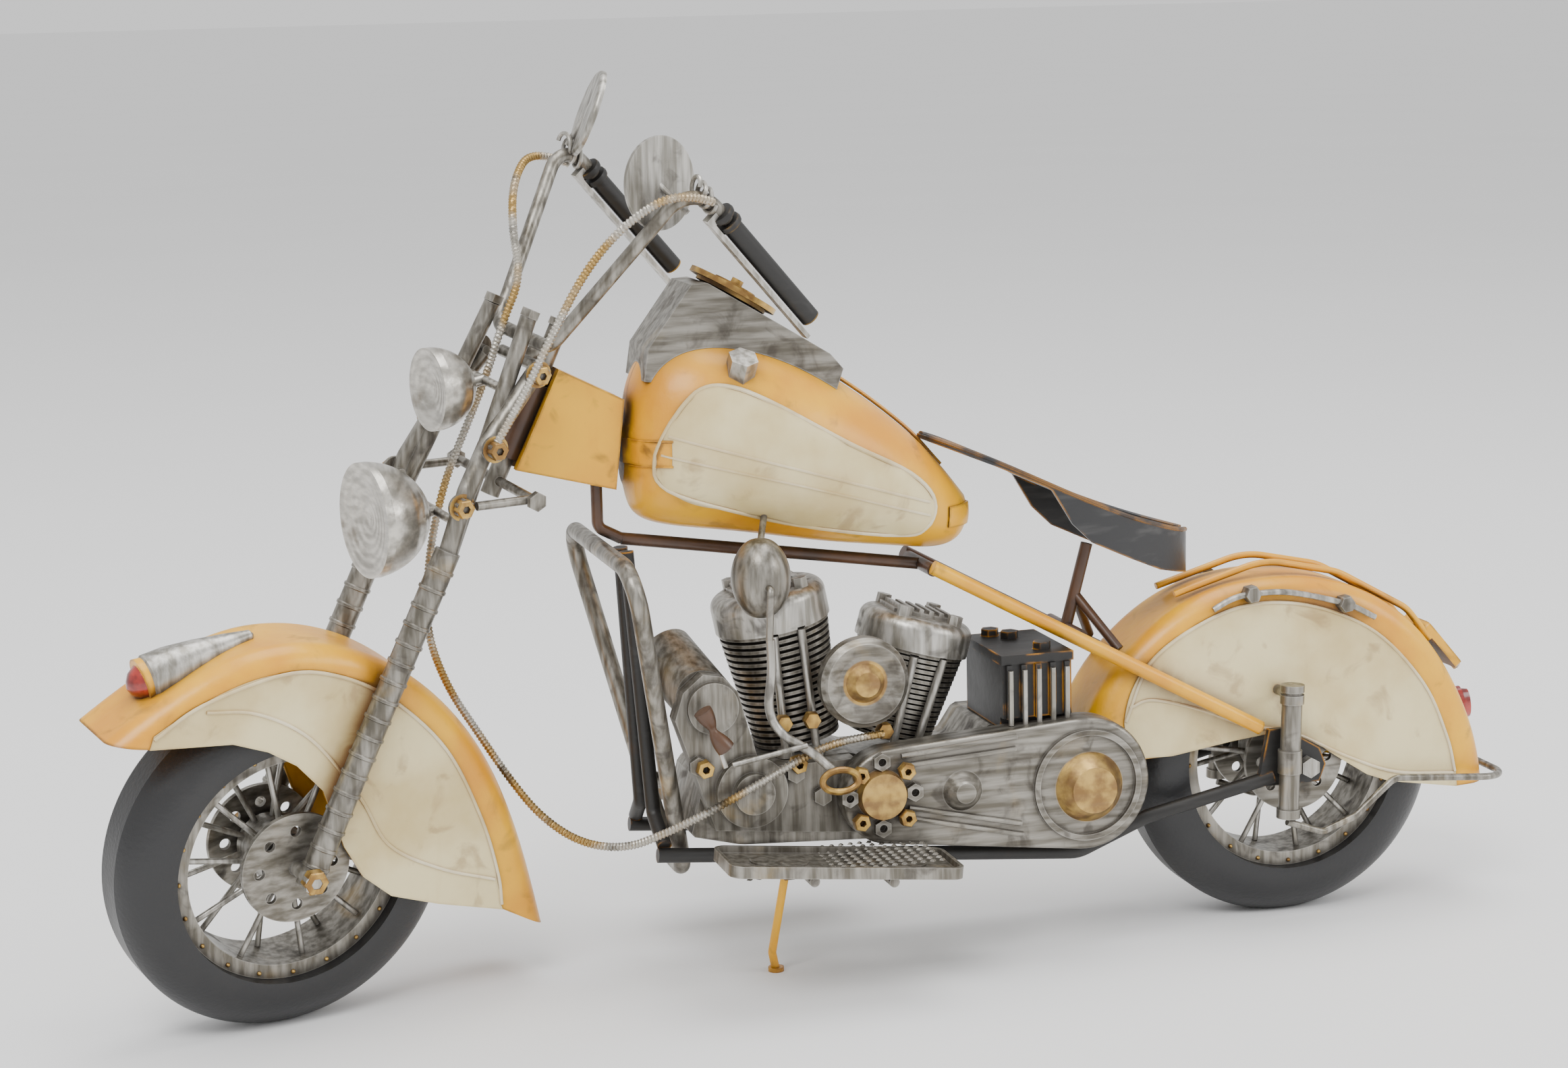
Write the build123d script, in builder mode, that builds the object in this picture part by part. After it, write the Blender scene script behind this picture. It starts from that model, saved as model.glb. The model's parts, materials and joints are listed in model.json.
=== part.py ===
"""Sheet-metal model motorcycle with a V-twin engine, made as separate pieces.

Millimetres. X runs to the rear, Y to the rider's right and Z up. The origin is on the
ground, midway between the axles. "Left" pieces lie on the -Y side.
The front end is made straight ahead and turned to its rest angle as it is written.
"""
import os
from math import cos, hypot, radians, sin, sqrt, tan

from build123d import *

os.makedirs("parts", exist_ok=True)

# ---------------------------------------------------------------- driving dimensions
WHEELBASE = 290.0
TYRE_RADIUS = 46.5
TYRE_SECTION = 12.4         # radius of the tyre's round section
TREAD_FLAT = 4.5            # half width of the flat tread
RIM_RADIUS = 32.3           # over the lips
RIM_BASE = 29.6             # the bed that the tyre sits on
RIM_HALF_WIDTH = 8.8
RIM_SHEET = 1.2
SPOKE_RADIUS = 0.8
SPOKES_PER_SIDE = 10
HUB_RADIUS = 8.0
HUB_HALF_WIDTH = 8.4
AXLE_RADIUS = 1.85
RUNNING_CLEARANCE = 0.06    # radial, in a bearing
FIT_GAP = 0.1               # between pieces of one body that only touch
DISC_RADIUS = 15.0
DISC_SHEET = 1.4
DISC_INNER_Y = 11.0
DISC_HOLES = 8

HEAD_RAKE = 25.08           # degrees, steering axis from the vertical
STEER_OFFSET = 20.0         # steering axis behind the front axle, at axle height
STEER_REST = 17.96          # degrees to the left
STEER_RISE = 0.625          # lifts the leaning wheel back on to the ground
STEM_RADIUS = 2.6
HEAD_TUBE_RADIUS = 4.3
HEAD_TUBE_LOW = 147.0       # heights on the steering axis
HEAD_TUBE_TOP = 166.0

LEG_Y = 18.3
LEG_RADIUS = 3.4
LEG_SLEEVE_TOP = 128.7
LEG_TOP = (-76.8, 10.3, 186.0)
LEG_TUBE_RADIUS = 2.2

FENDER_HALF_WIDTH = 14.2
FENDER_SHEET = 0.8
PANEL_SHEET = 0.45
FRAME_TUBE = 2.0
RAIL_Y = 17.0
CRASH_TUBE = 2.4
BAR_TUBE = 1.85
GRIP_RADIUS = 2.65
TANK_SHEET = 0.9
STAND_PIVOT = Vector(-7.5, -14.6, 30.4)
STAND_PIN_RADIUS = 1.2
CABLE_RADIUS = 1.2

FRONT_X = -WHEELBASE / 2
REAR_X = WHEELBASE / 2
STEER_FOOT = Vector(FRONT_X + STEER_OFFSET, 0, TYRE_RADIUS)
STEER_DIR = Vector(sin(radians(HEAD_RAKE)), 0, cos(radians(HEAD_RAKE)))
STEER_AXIS = Axis(STEER_FOOT, STEER_DIR)
SIDES = {"left": -1, "right": 1}


def on_steering_axis(height):
    """The point of the steering axis at a height."""
    return STEER_FOOT + STEER_DIR * ((height - TYRE_RADIUS) / STEER_DIR.Z)


def finish(piece, label, steered=False):
    """Write one finished piece, with the front end's pieces turned to their rest angle."""
    placed = piece
    if steered:
        placed = Pos(STEER_DIR * STEER_RISE) * piece.rotate(STEER_AXIS, STEER_REST)
    placed.label = label
    export_step(placed, f"parts/{label}.step")


def rod(start, end, radius, end_radius=None):
    """A straight round bar, tapered when it is given a second radius."""
    start, end = Vector(*start), Vector(*end)
    along = end - start
    with BuildPart() as bar:
        with BuildSketch(Plane(origin=start, z_dir=along)):
            Circle(radius)
        if end_radius is None:
            extrude(amount=along.length)
        else:
            with BuildSketch(Plane(origin=end, z_dir=along)):
                Circle(end_radius)
            loft()
    return bar.part


def bent_rod(points, bends, radius, close=False):
    """A round bar that follows straight runs joined by tangent bends."""
    with BuildPart() as bar:
        with BuildLine() as path:
            FilletPolyline(*points, radius=bends, close=close)
        start = path.line @ 0
        with BuildSketch(Plane(origin=start, z_dir=path.line % 0)):
            Circle(radius)
        sweep(path=path.line)
    return bar.part


def hex_nut(center, direction, across, height, hole=0.0):
    """A hexagon nut with its base on a centre point."""
    with BuildPart() as nut:
        with BuildSketch(Plane(origin=Vector(*center), z_dir=Vector(*direction))):
            RegularPolygon(across / 2, 6, major_radius=False)
            if hole:
                Circle(hole, mode=Mode.SUBTRACT)
        extrude(amount=height)
    return nut.part


def joined(*pieces):
    """Several shapes fused into one piece."""
    with BuildPart() as whole:
        for piece in pieces:
            add(piece)
    return whole.part


def cut(piece, *tools):
    """A piece with other shapes taken out of it."""
    with BuildPart() as rest:
        add(piece)
        for tool in tools:
            add(tool, mode=Mode.SUBTRACT)
    return rest.part


def both_sides(piece):
    """A piece together with its mirror image on the other side of the mid-plane."""
    with BuildPart() as pair:
        add(piece)
        mirror(piece, about=Plane.XZ)
    return pair.part


def side_plate(outline, near_y, far_y):
    """A flat plate whose outline is given in X and Z, between two values of Y."""
    with BuildPart() as plate:
        with BuildSketch(Plane(origin=(0, near_y, 0), x_dir=(1, 0, 0), z_dir=(0, -1, 0))):
            with BuildLine():
                Polyline(*outline, close=True)
            make_face()
        extrude(amount=near_y - far_y)
    return plate.part


# ---------------------------------------------------------------- wheels
def wheel_axis(axle_x):
    return Axis((axle_x, 0, TYRE_RADIUS), (0, 1, 0))


def make_tyre(axle_x):
    """A round tyre with a narrow flat tread, seated in the rim's channel."""
    sag = TYRE_SECTION - sqrt(TYRE_SECTION**2 - TREAD_FLAT**2)
    center_radius = TYRE_RADIUS + sag - TYRE_SECTION
    bed = RIM_BASE + FIT_GAP
    lip = RIM_RADIUS + FIT_GAP
    inside_lip = RIM_HALF_WIDTH - RIM_SHEET - FIT_GAP
    with BuildPart() as tyre:
        with BuildSketch(Plane.XY.offset(TYRE_RADIUS)):
            with Locations((axle_x + center_radius, 0)):
                Circle(TYRE_SECTION)
            with Locations((axle_x + (bed + TYRE_RADIUS) / 2, 0)):
                Rectangle(TYRE_RADIUS - bed, 2 * TYRE_SECTION, mode=Mode.INTERSECT)
            side_width = TYRE_SECTION - inside_lip
            for side in (-1, 1):
                with Locations((axle_x + (bed + lip) / 2, side * (inside_lip + side_width / 2))):
                    Rectangle(lip - bed, side_width, mode=Mode.SUBTRACT)
        revolve(axis=wheel_axis(axle_x))
    return tyre.part


def make_rim(axle_x):
    """A channel rim with upright lips."""
    with BuildPart() as rim:
        with BuildSketch(Plane.XY.offset(TYRE_RADIUS)):
            outer = RIM_RADIUS - RIM_BASE + RIM_SHEET
            with Locations((axle_x + RIM_RADIUS - outer / 2, 0)):
                Rectangle(outer, 2 * RIM_HALF_WIDTH)
            with Locations((axle_x + (RIM_RADIUS + RIM_BASE) / 2, 0)):
                Rectangle(RIM_RADIUS - RIM_BASE, 2 * (RIM_HALF_WIDTH - RIM_SHEET), mode=Mode.SUBTRACT)
        revolve(axis=wheel_axis(axle_x))
    return rim.part


def make_hub(axle_x):
    """The hub drum with its two layers of spokes, bored for the axle."""
    center = Vector(axle_x, 0, TYRE_RADIUS)
    spoke_end = RIM_BASE - RIM_SHEET - FIT_GAP
    spokes = []
    for side in (-1, 1):
        for index in range(SPOKES_PER_SIDE):
            turn = radians(360 / SPOKES_PER_SIDE * (index + 0.25 * side))
            ray = Vector(cos(turn), 0, sin(turn))
            root = center + ray * (HUB_RADIUS - 1) + Vector(0, side * (HUB_HALF_WIDTH - 2.2), 0)
            tip = center + ray * spoke_end + Vector(0, side * 4.5, 0)
            spokes.append(rod(root, tip, SPOKE_RADIUS))
    with BuildPart() as hub:
        with BuildSketch(Plane.XY.offset(TYRE_RADIUS)):
            drum = [(AXLE_RADIUS + RUNNING_CLEARANCE, -DISC_INNER_Y + FIT_GAP), (4.2, -DISC_INNER_Y + FIT_GAP),
                    (4.2, -HUB_HALF_WIDTH), (HUB_RADIUS, -HUB_HALF_WIDTH), (HUB_RADIUS, HUB_HALF_WIDTH),
                    (4.2, HUB_HALF_WIDTH), (4.2, DISC_INNER_Y - FIT_GAP),
                    (AXLE_RADIUS + RUNNING_CLEARANCE, DISC_INNER_Y - FIT_GAP)]
            with BuildLine():
                Polyline(*[(axle_x + radius, y) for radius, y in drum], close=True)
            make_face()
        revolve(axis=wheel_axis(axle_x))
        for spoke in spokes:
            add(spoke)
    return hub.part


def make_discs(axle_x):
    """The pair of drilled brake discs."""
    with BuildPart() as discs:
        plane = Plane(origin=(axle_x, -DISC_INNER_Y, TYRE_RADIUS), x_dir=(1, 0, 0), z_dir=(0, -1, 0))
        with BuildSketch(plane):
            Circle(DISC_RADIUS)
            Circle(AXLE_RADIUS + RUNNING_CLEARANCE, mode=Mode.SUBTRACT)
            with PolarLocations(DISC_RADIUS * 0.68, DISC_HOLES):
                Circle(1.5, mode=Mode.SUBTRACT)
        extrude(amount=DISC_SHEET)
        mirror(about=Plane.XZ)
    return discs.part


def make_axle(axle_x, reach, nut_y):
    """An axle bar with a hollow hexagon nut at each end."""
    bar = rod((axle_x, -reach, TYRE_RADIUS), (axle_x, reach, TYRE_RADIUS), AXLE_RADIUS)
    nut = hex_nut((axle_x, -nut_y, TYRE_RADIUS), (0, -1, 0), 5.2, reach - nut_y, AXLE_RADIUS)
    return joined(bar, both_sides(nut))


for label, axle_x in {"front": FRONT_X, "rear": REAR_X}.items():
    steered = label == "front"
    finish(make_tyre(axle_x), f"{label}_tyre", steered)
    finish(make_rim(axle_x), f"{label}_rim", steered)
    finish(make_hub(axle_x), f"{label}_hub", steered)
    finish(make_discs(axle_x), f"{label}_discs", steered)

leg_outside = LEG_Y + LEG_RADIUS
finish(make_axle(FRONT_X, leg_outside + 3.0, leg_outside + FIT_GAP), "front_axle", True)

# ---------------------------------------------------------------- fork legs
leg_slope = (LEG_TOP[0] - FRONT_X - 2.0) / (LEG_TOP[2] - TYRE_RADIUS)


def leg_x(height):
    """The leg's centre line, which leans back with the steering."""
    return FRONT_X + 2.0 + leg_slope * (height - TYRE_RADIUS)


def make_leg(side):
    """A thick lower sleeve, a thin front tube, a bent rear tube and their cross pins."""
    y = side * LEG_Y
    foot = (leg_x(TYRE_RADIUS - 3), y, TYRE_RADIUS - 3)
    knee = (leg_x(LEG_SLEEVE_TOP), y, LEG_SLEEVE_TOP)
    top = (LEG_TOP[0], side * LEG_TOP[1], LEG_TOP[2])
    sleeve = rod(foot, knee, LEG_RADIUS)
    front_tube = rod((knee[0], y, knee[2] - 2), top, LEG_TUBE_RADIUS)
    rear_points = [(knee[0] - 0.5, y, knee[2] - 2), (-98.6, y, 144.0), (-92.0, side * 16.5, 155.0),
                   (-77.6, side * 14.4, 171.5)]
    rear_tube = bent_rod(rear_points, [5.0, 5.0], 2.5)
    pins = []
    for x, z, pin_y in ((-77.5, 172.5, 14.4), (-91.0, 154.6, 16.7), (-101.0, 140.6, 17.6)):
        pins.append(rod((x, side * (pin_y - 2), z), (x, side * (pin_y + 4.6), z), 1.2))
        pins.append(rod((x, side * (pin_y + 2), z), (x, side * (pin_y + 2.9), z), 3.6))
        pins.append(hex_nut((x, side * (pin_y + 2.9), z), (0, side, 0), 4.6, 1.9))
    cap = hex_nut(top, (STEER_DIR.X, 0, STEER_DIR.Z), 4.8, 2.2)
    leg = joined(sleeve, front_tube, rear_tube, cap, *pins)
    bore = rod((FRONT_X, y - 6, TYRE_RADIUS), (FRONT_X, y + 6, TYRE_RADIUS), AXLE_RADIUS)
    return cut(leg, bore)


for name, side in SIDES.items():
    finish(make_leg(side), f"fork_leg_{name}", True)

# ---------------------------------------------------------------- steering stem and yokes
stem_low = on_steering_axis(136.5)
stem_top = on_steering_axis(180.0)
yoke_height = 176.0
stem = rod(stem_low, stem_top, STEM_RADIUS)
stem_nut = hex_nut(stem_top, STEER_DIR, 6.0, 2.0)
axis_low = on_steering_axis(140.4)
axis_yoke = on_steering_axis(yoke_height)
lower_bolt = rod((axis_low.X, -23.0, axis_low.Z), (axis_low.X, 23.0, axis_low.Z), 1.3)
link = rod((axis_low.X, -21.2, axis_low.Z), (-97.2, -21.2, 140.6), 1.2)
lower_nut = hex_nut((axis_low.X, -22.6, axis_low.Z), (0, -1, 0), 4.6, 1.8)
yoke_bar = rod((-73.6, -11.0, 172.4), (-73.6, 11.0, 172.4), 1.6)
yoke_block = rod((axis_yoke.X, 0, axis_yoke.Z), (-73.6, 0, 172.4), 2.0)
finish(joined(stem, stem_nut, lower_bolt, both_sides(joined(link, lower_nut)), yoke_bar, yoke_block),
       "steering_stem", True)

# ---------------------------------------------------------------- handlebar, grips and levers
GRIP_LENGTH = 38.0
LEVER_LENGTH = 46.0
bar_side = [Vector(-73.0, -15.0, 178.6), Vector(-43.0, -35.4, 223.6), Vector(-6.6, -36.0, 184.6)]
bar_points = bar_side[::-1] + [Vector(point.X, -point.Y, point.Z) for point in bar_side]
handlebar = bent_rod(bar_points, [8.0, 5.0, 5.0, 8.0], BAR_TUBE)
finish(handlebar, "handlebar", True)

bar_run = (bar_side[2] - bar_side[1]).normalized()
grip_start = bar_side[2] - bar_run * GRIP_LENGTH
grip = rod(grip_start, bar_side[2], GRIP_RADIUS)
grip_bore = rod(grip_start - bar_run, bar_side[2] + bar_run, BAR_TUBE)
finish(both_sides(cut(grip, grip_bore)), "grips", True)

lever_out = bar_run.cross(Vector(0, 1, 0)).normalized() * (GRIP_RADIUS + 1.4)
lever_start = bar_side[2] - bar_run * (LEVER_LENGTH - 3.0) - lever_out
with BuildPart() as levers:
    with BuildSketch(Plane(origin=lever_start, x_dir=(0, 1, 0), z_dir=bar_run)):
        Rectangle(2.6, 1.2)
    extrude(amount=LEVER_LENGTH)
    with BuildSketch(Plane(origin=lever_start, x_dir=(0, 1, 0), z_dir=bar_run)):
        with Locations((0, 1.6)):
            Rectangle(2.6, 3.6)
    extrude(amount=2.6)
    mirror(about=Plane.XZ)
finish(cut(levers.part, handlebar), "levers", True)

# ---------------------------------------------------------------- mirrors
MIRROR_RADIUS = 12.2
MIRROR_SHEET = 1.8


def make_mirror(center, facing, stem_root):
    """A round dish mirror on a bent stem."""
    center = Vector(*center)
    facing = Vector(*facing).normalized()
    with BuildPart() as dish:
        with BuildSketch(Plane(origin=center - facing * MIRROR_SHEET, z_dir=facing)):
            Circle(MIRROR_RADIUS)
        extrude(amount=MIRROR_SHEET)
        fillet(dish.edges().sort_by(Axis(center, facing))[0], 1.2)
    holder = rod(stem_root, (center - facing * 1.0), 0.8)
    return joined(dish.part, holder)


left_mirror = make_mirror((-46.5, -25.0, 221.5), (0.25, -0.95, 0.1), (-42.0, -31.2, 214.5))
right_mirror = make_mirror((-35.5, 33.0, 230.0), (0.87, -0.36, -0.35), (-41.5, 35.2, 221.4))
finish(cut(joined(left_mirror, right_mirror), handlebar), "mirrors", True)

# ---------------------------------------------------------------- lamps
def make_lamp(face_x, height, radius, back_x, cross_y, cross_x, cross_z):
    """A round lamp facing ahead: a shallow dish, a bowl and a cross rod to the fork legs."""
    with BuildPart() as lamp:
        with BuildSketch(Plane(origin=(0, 0, height), x_dir=(1, 0, 0), z_dir=(0, -1, 0))):
            with BuildLine():
                face = Polyline((face_x + 2.0, 0), (face_x, radius - 1.2), (face_x, radius))
                rim = Line(face @ 1, (face_x + 2.2, radius))
                bowl = Spline(rim @ 1, ((face_x + back_x) / 2 + 2, radius * 0.78), (back_x, 1.6))
                Polyline(bowl @ 1, (back_x, 0), (face_x + 2.0, 0))
            make_face()
        revolve(axis=Axis((0, 0, height), (1, 0, 0)))
    cross = rod((cross_x, -cross_y, cross_z), (cross_x, cross_y, cross_z), 1.2)
    strut = rod((back_x - 2.5, 0, height), (cross_x, 0, cross_z), 1.4)
    return joined(lamp.part, cross, strut)


finish(make_lamp(-119.2, 134.0, 15.2, -101.0, 14.7, -98.7, 134.0), "headlamp", True)
finish(make_lamp(-100.8, 167.0, 10.9, -87.8, 9.4, -84.6, 168.0), "spot_lamp", True)


# ---------------------------------------------------------------- fenders
def fender_block(crown, hem, half_width):
    """A solid between a curved crown and a hem line, with its crown edges rounded."""
    with BuildPart() as block:
        with BuildSketch(Plane(origin=(0, 0, 0), x_dir=(1, 0, 0), z_dir=(0, -1, 0))):
            with BuildLine():
                top = Spline(*crown)
                lower = Polyline(*hem)
                Line(top @ 1, lower @ 0)
                Line(lower @ 1, top @ 0)
            make_face()
        extrude(amount=half_width, both=True)
    return block.part


def rounded_crown(block, radius):
    """A fender block with the two long edges of its crown rounded."""
    with BuildPart() as soft:
        add(block)
        fillet(soft.edges().filter_by(GeomType.BSPLINE), radius)
    return soft.part


def cavity_block(crown, hem, axle_x):
    """The space inside a fender: the same crown moved in by the sheet, open below the hem."""
    center = Vector(axle_x, 0, TYRE_RADIUS)
    inner = []
    for x, z in crown:
        reach = hypot(x - center.X, z - center.Z)
        share = (reach - FENDER_SHEET) / reach
        inner.append((center.X + (x - center.X) * share, center.Z + (z - center.Z) * share))
    bottom = min(z for _, z in hem) - 6.0
    low = [(inner[-1][0] - 6.0, bottom), (inner[0][0] + 8.0, bottom)]
    block = fender_block(inner, low, FENDER_HALF_WIDTH - FENDER_SHEET)
    return rounded_crown(block, CROWN_ROUND - FENDER_SHEET)


CROWN_ROUND = 6.0
front_crown = [(-194.2, 88.7), (-175.0, 99.8), (-152.0, 107.0), (-127.0, 102.9), (-107.6, 90.4),
               (-91.7, 71.3), (-78.4, 40.2), (-71.6, 14.5)]
front_hem = [(-86.0, 23.1), (-105.3, 28.8), (-119.1, 34.0), (-127.0, 41.0), (-132.4, 50.6), (-137.9, 67.2),
             (-145.2, 75.6), (-153.0, 80.8), (-162.5, 84.6), (-184.4, 86.9)]
rear_crown = [(80.5, 55.0), (86.0, 70.0), (96.6, 83.0), (113.2, 94.4), (136.0, 99.6), (155.4, 97.9), (181.4, 84.7),
              (197.0, 64.1), (203.8, 47.1), (206.0, 34.6)]
rear_hem = [(195.8, 34.1), (174.1, 37.7), (167.0, 40.4), (156.8, 47.0), (150.4, 51.6), (139.9, 55.6),
            (125.2, 54.1), (106.5, 51.4), (82.0, 50.6)]


front_shell = rounded_crown(fender_block(front_crown, front_hem, FENDER_HALF_WIDTH), CROWN_ROUND)
front_space = cavity_block(front_crown, front_hem, FRONT_X)
front_fender = cut(front_shell, front_space)
rear_shell = rounded_crown(fender_block(rear_crown, rear_hem, FENDER_HALF_WIDTH), CROWN_ROUND)
rear_fender = cut(rear_shell, cavity_block(rear_crown, rear_hem, REAR_X))
fairing = cut(rod((-181.0, 0, 100.0), (-152.8, 0, 107.4), 6.0, 1.2), front_space)
finish(joined(front_fender, fairing), "front_fender", True)


front_panel_top = [(-183.2, 90.2), (-170.2, 96.6), (-152.1, 101.2), (-133.6, 98.2), (-114.7, 86.6),
                   (-99.2, 67.1), (-90.4, 44.1), (-86.6, 24.6)]
rear_panel_top = [(92.0, 62.0), (99.5, 79.0), (114.9, 89.0), (131.5, 93.6), (150.3, 91.4), (169.4, 82.4),
                  (184.6, 66.0), (192.4, 49.6), (195.4, 38.4)]


def fender_panel(panel_top, hem):
    """The pair of thin side panels between a curved upper edge and the hem."""
    with BuildPart() as panels:
        add(fender_block(panel_top, hem, FENDER_HALF_WIDTH + PANEL_SHEET))
        add(fender_block(panel_top, hem, FENDER_HALF_WIDTH), mode=Mode.SUBTRACT)
    return panels.part


finish(fender_panel(front_panel_top, front_hem), "front_fender_panels", True)
finish(fender_panel(rear_panel_top, rear_hem[:-1] + [(93.0, 51.6)]), "rear_fender_panels")
finish(rear_fender, "rear_fender")

# ---------------------------------------------------------------- head tube and neck box
head_low = on_steering_axis(HEAD_TUBE_LOW)
head_top = on_steering_axis(HEAD_TUBE_TOP)
head_tube = cut(rod(head_low, head_top, HEAD_TUBE_RADIUS),
                rod(on_steering_axis(130), on_steering_axis(185), STEM_RADIUS + RUNNING_CLEARANCE))
finish(head_tube, "head_tube")

NECK_HALF_WIDTH = 7.0
neck_outline = [(-64.0, 170.0), (-76.5, 144.0), (-49.6, 137.0), (-46.6, 161.0)]
neck_inner = [(-65.0, 167.6), (-74.0, 145.6), (-49.6, 139.2), (-47.4, 159.2)]
head_space = rod(on_steering_axis(120), on_steering_axis(190), HEAD_TUBE_RADIUS + FIT_GAP / 2)
neck_box = cut(side_plate(neck_outline, -NECK_HALF_WIDTH, NECK_HALF_WIDTH),
               side_plate(neck_inner, -NECK_HALF_WIDTH + 1.0, NECK_HALF_WIDTH - 1.0), head_space)
finish(neck_box, "neck_box")

# ---------------------------------------------------------------- frame tubes
backbone_front = Vector(-47.2, 0, 122.6)
backbone_rear = Vector(37.5, 0, 109.4)
neck_hook = bent_rod([(-53.6, 0, 137.6), (-53.6, 0, 126.0), tuple(backbone_front)], [3.0], 1.6)
stay_bar = rod((37.5, -11.2, 109.4), (37.5, 11.2, 109.4), 1.8)
finish(joined(rod(backbone_front, backbone_rear, 1.7), neck_hook, stay_bar), "backbone")

down_tube = bent_rod([(-46.8, -3.6, 119.6), (-42.6, -7.6, 47.6), (-42.0, -RAIL_Y, 40.8)], [4.0], FRAME_TUBE)
rail_space = rod((-60.0, -RAIL_Y, 39.9), (-20.0, -RAIL_Y, 36.1), FRAME_TUBE + FIT_GAP)
finish(both_sides(cut(down_tube, rail_space)), "down_tubes")

AXLE_PLATE_Y = 19.6
AXLE_PLATE_SHEET = 2.0


def make_rail(side):
    """A lower frame tube that rises behind the engine to the flat plate for the rear axle."""
    y = side * RAIL_Y
    tube = bent_rod([(-44.0, y, 38.4), (76.8, y, 27.2), (97.0, side * 17.6, 35.4), (135.0, side * 19.6, 44.0)],
                    [10.0, 12.0], FRAME_TUBE)
    plate_outline = [(130.0, 41.6), (149.0, 41.6), (151.0, 46.5), (149.0, 51.4), (138.0, 58.0), (133.5, 58.0)]
    plate_y = side * AXLE_PLATE_Y + AXLE_PLATE_SHEET / 2
    plate = side_plate(plate_outline, plate_y, plate_y - AXLE_PLATE_SHEET)
    bore = rod((REAR_X, y - 8, TYRE_RADIUS), (REAR_X, y + 8, TYRE_RADIUS), AXLE_RADIUS)
    return cut(joined(tube, plate), bore)


def stand_bracket():
    """The lug and pin under the left rail that carry the kickstand."""
    outline = [(-10.5, 34.6), (-10.2, 29.6), (-8.9, 28.0), (-6.1, 28.0), (-4.8, 29.6), (-4.5, 34.6)]
    pin = rod((STAND_PIVOT.X, -18.0, STAND_PIVOT.Z), (STAND_PIVOT.X, -13.0, STAND_PIVOT.Z), STAND_PIN_RADIUS)
    return joined(side_plate(outline, -18.0, -16.0), pin)


def make_stay(side):
    """An upper frame tube, from under the tank down to the rear axle plate."""
    return rod((36.6, side * 13.2, 110.6), (131.4, side * 19.3, 58.4), FRAME_TUBE)


for name, side in SIDES.items():
    rail = joined(make_rail(side), stand_bracket()) if name == "left" else make_rail(side)
    finish(rail, f"bottom_rail_{name}")
    finish(make_stay(side), f"upper_stay_{name}")

plate_outside = AXLE_PLATE_Y + AXLE_PLATE_SHEET / 2
finish(make_axle(REAR_X, plate_outside + 3.2, plate_outside), "rear_axle")

post = rod((86.8, 0, 111.6), (80.4, 0, 88.4), 1.7)
post_bar = rod((80.4, -12.6, 88.0), (80.4, 12.6, 88.0), 1.5)
branch = rod((83.0, 0, 97.4), (91.8, -11.4, 82.8), 1.4)
stays = joined(make_stay(-1), make_stay(1))
finish(cut(joined(post, post_bar, both_sides(branch)), stays), "seat_post")

# ---------------------------------------------------------------- crash bar
crash_half = [(-53.4, 0, 120.4), (-53.4, 41.5, 120.4), (-35.0, 8.6, 31.6), (-35.0, 0, 31.6)]
crash_bar = both_sides(bent_rod(crash_half, [9.0, 6.0], CRASH_TUBE))
finish(crash_bar, "crash_bar")

# ---------------------------------------------------------------- fuel tank
# x, underside, top, half width of each cross-section
tank_stations = [(-46.6, 138.0, 152.0, 4.0), (-43.6, 129.6, 165.0, 12.0), (-37.0, 126.2, 174.6, 18.0),
                 (-25.0, 124.0, 177.6, 21.5), (-5.0, 120.6, 173.0, 22.5), (15.0, 117.2, 161.6, 20.0),
                 (33.0, 114.8, 147.6, 15.0), (44.0, 114.6, 136.0, 9.6), (50.0, 120.0, 128.4, 3.0)]


def tank_body(grow):
    """A teardrop body through its elliptical cross-sections, larger all round by a margin."""
    with BuildPart() as body:
        for x, low, high, half_width in tank_stations:
            end_grow = grow if x in (tank_stations[0][0], tank_stations[-1][0]) else 0
            with BuildSketch(Plane(origin=(x + end_grow * (1 if x > 0 else -1), 0, (low + high) / 2),
                                   x_dir=(0, 1, 0), z_dir=(1, 0, 0))):
                Ellipse(half_width + grow, (high - low) / 2 + grow)
        loft()
    return body.part


def half_space(side, gap):
    """A large block on one side of the mid-plane."""
    with BuildPart() as block:
        with Locations((0, side * (60 + gap), 140)):
            Box(400, 120, 400)
    return block.part


tank_shell = cut(tank_body(0), tank_body(-TANK_SHEET))
for name, side in SIDES.items():
    finish(cut(tank_shell, half_space(-side, -FIT_GAP / 4)), f"tank_{name}")

panel_outline = [(-41.0, 145.0), (-36.8, 155.6), (-30.0, 163.2), (-22.0, 164.6), (-10.8, 160.2), (11.3, 147.4),
                 (30.0, 137.4), (37.4, 129.0), (35.4, 121.6), (27.8, 119.9), (-0.6, 125.0), (-19.2, 130.4),
                 (-37.4, 137.2)]
with BuildPart() as tank_panels:
    add(tank_body(PANEL_SHEET + 0.05))
    with BuildSketch(Plane(origin=(0, 0, 0), x_dir=(1, 0, 0), z_dir=(0, -1, 0))):
        with BuildLine():
            Spline(*panel_outline, periodic=True)
        make_face()
    extrude(amount=40, both=True, mode=Mode.INTERSECT)
    with Locations((0, 0, 140)):
        Box(200, 12, 100, mode=Mode.SUBTRACT)
tank_skin = cut(tank_panels.part, tank_body(0.05))
finish(tank_skin, "tank_panels")

with BuildPart() as straps:
    with Locations((-41.6, 0, 147.0)):
        Box(11.0, 60, 6.4)
    with Locations((47.0, 0, 123.6)):
        Box(9.0, 60, 6.0)
    add(tank_body(0.6), mode=Mode.INTERSECT)
    with Locations((-36.4, 0, 147.0)):
        Box(0.9, 60, 8, mode=Mode.SUBTRACT)
strap_bands = cut(straps.part, tank_body(0.05), tank_skin)
finish(strap_bands, "tank_straps")

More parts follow.
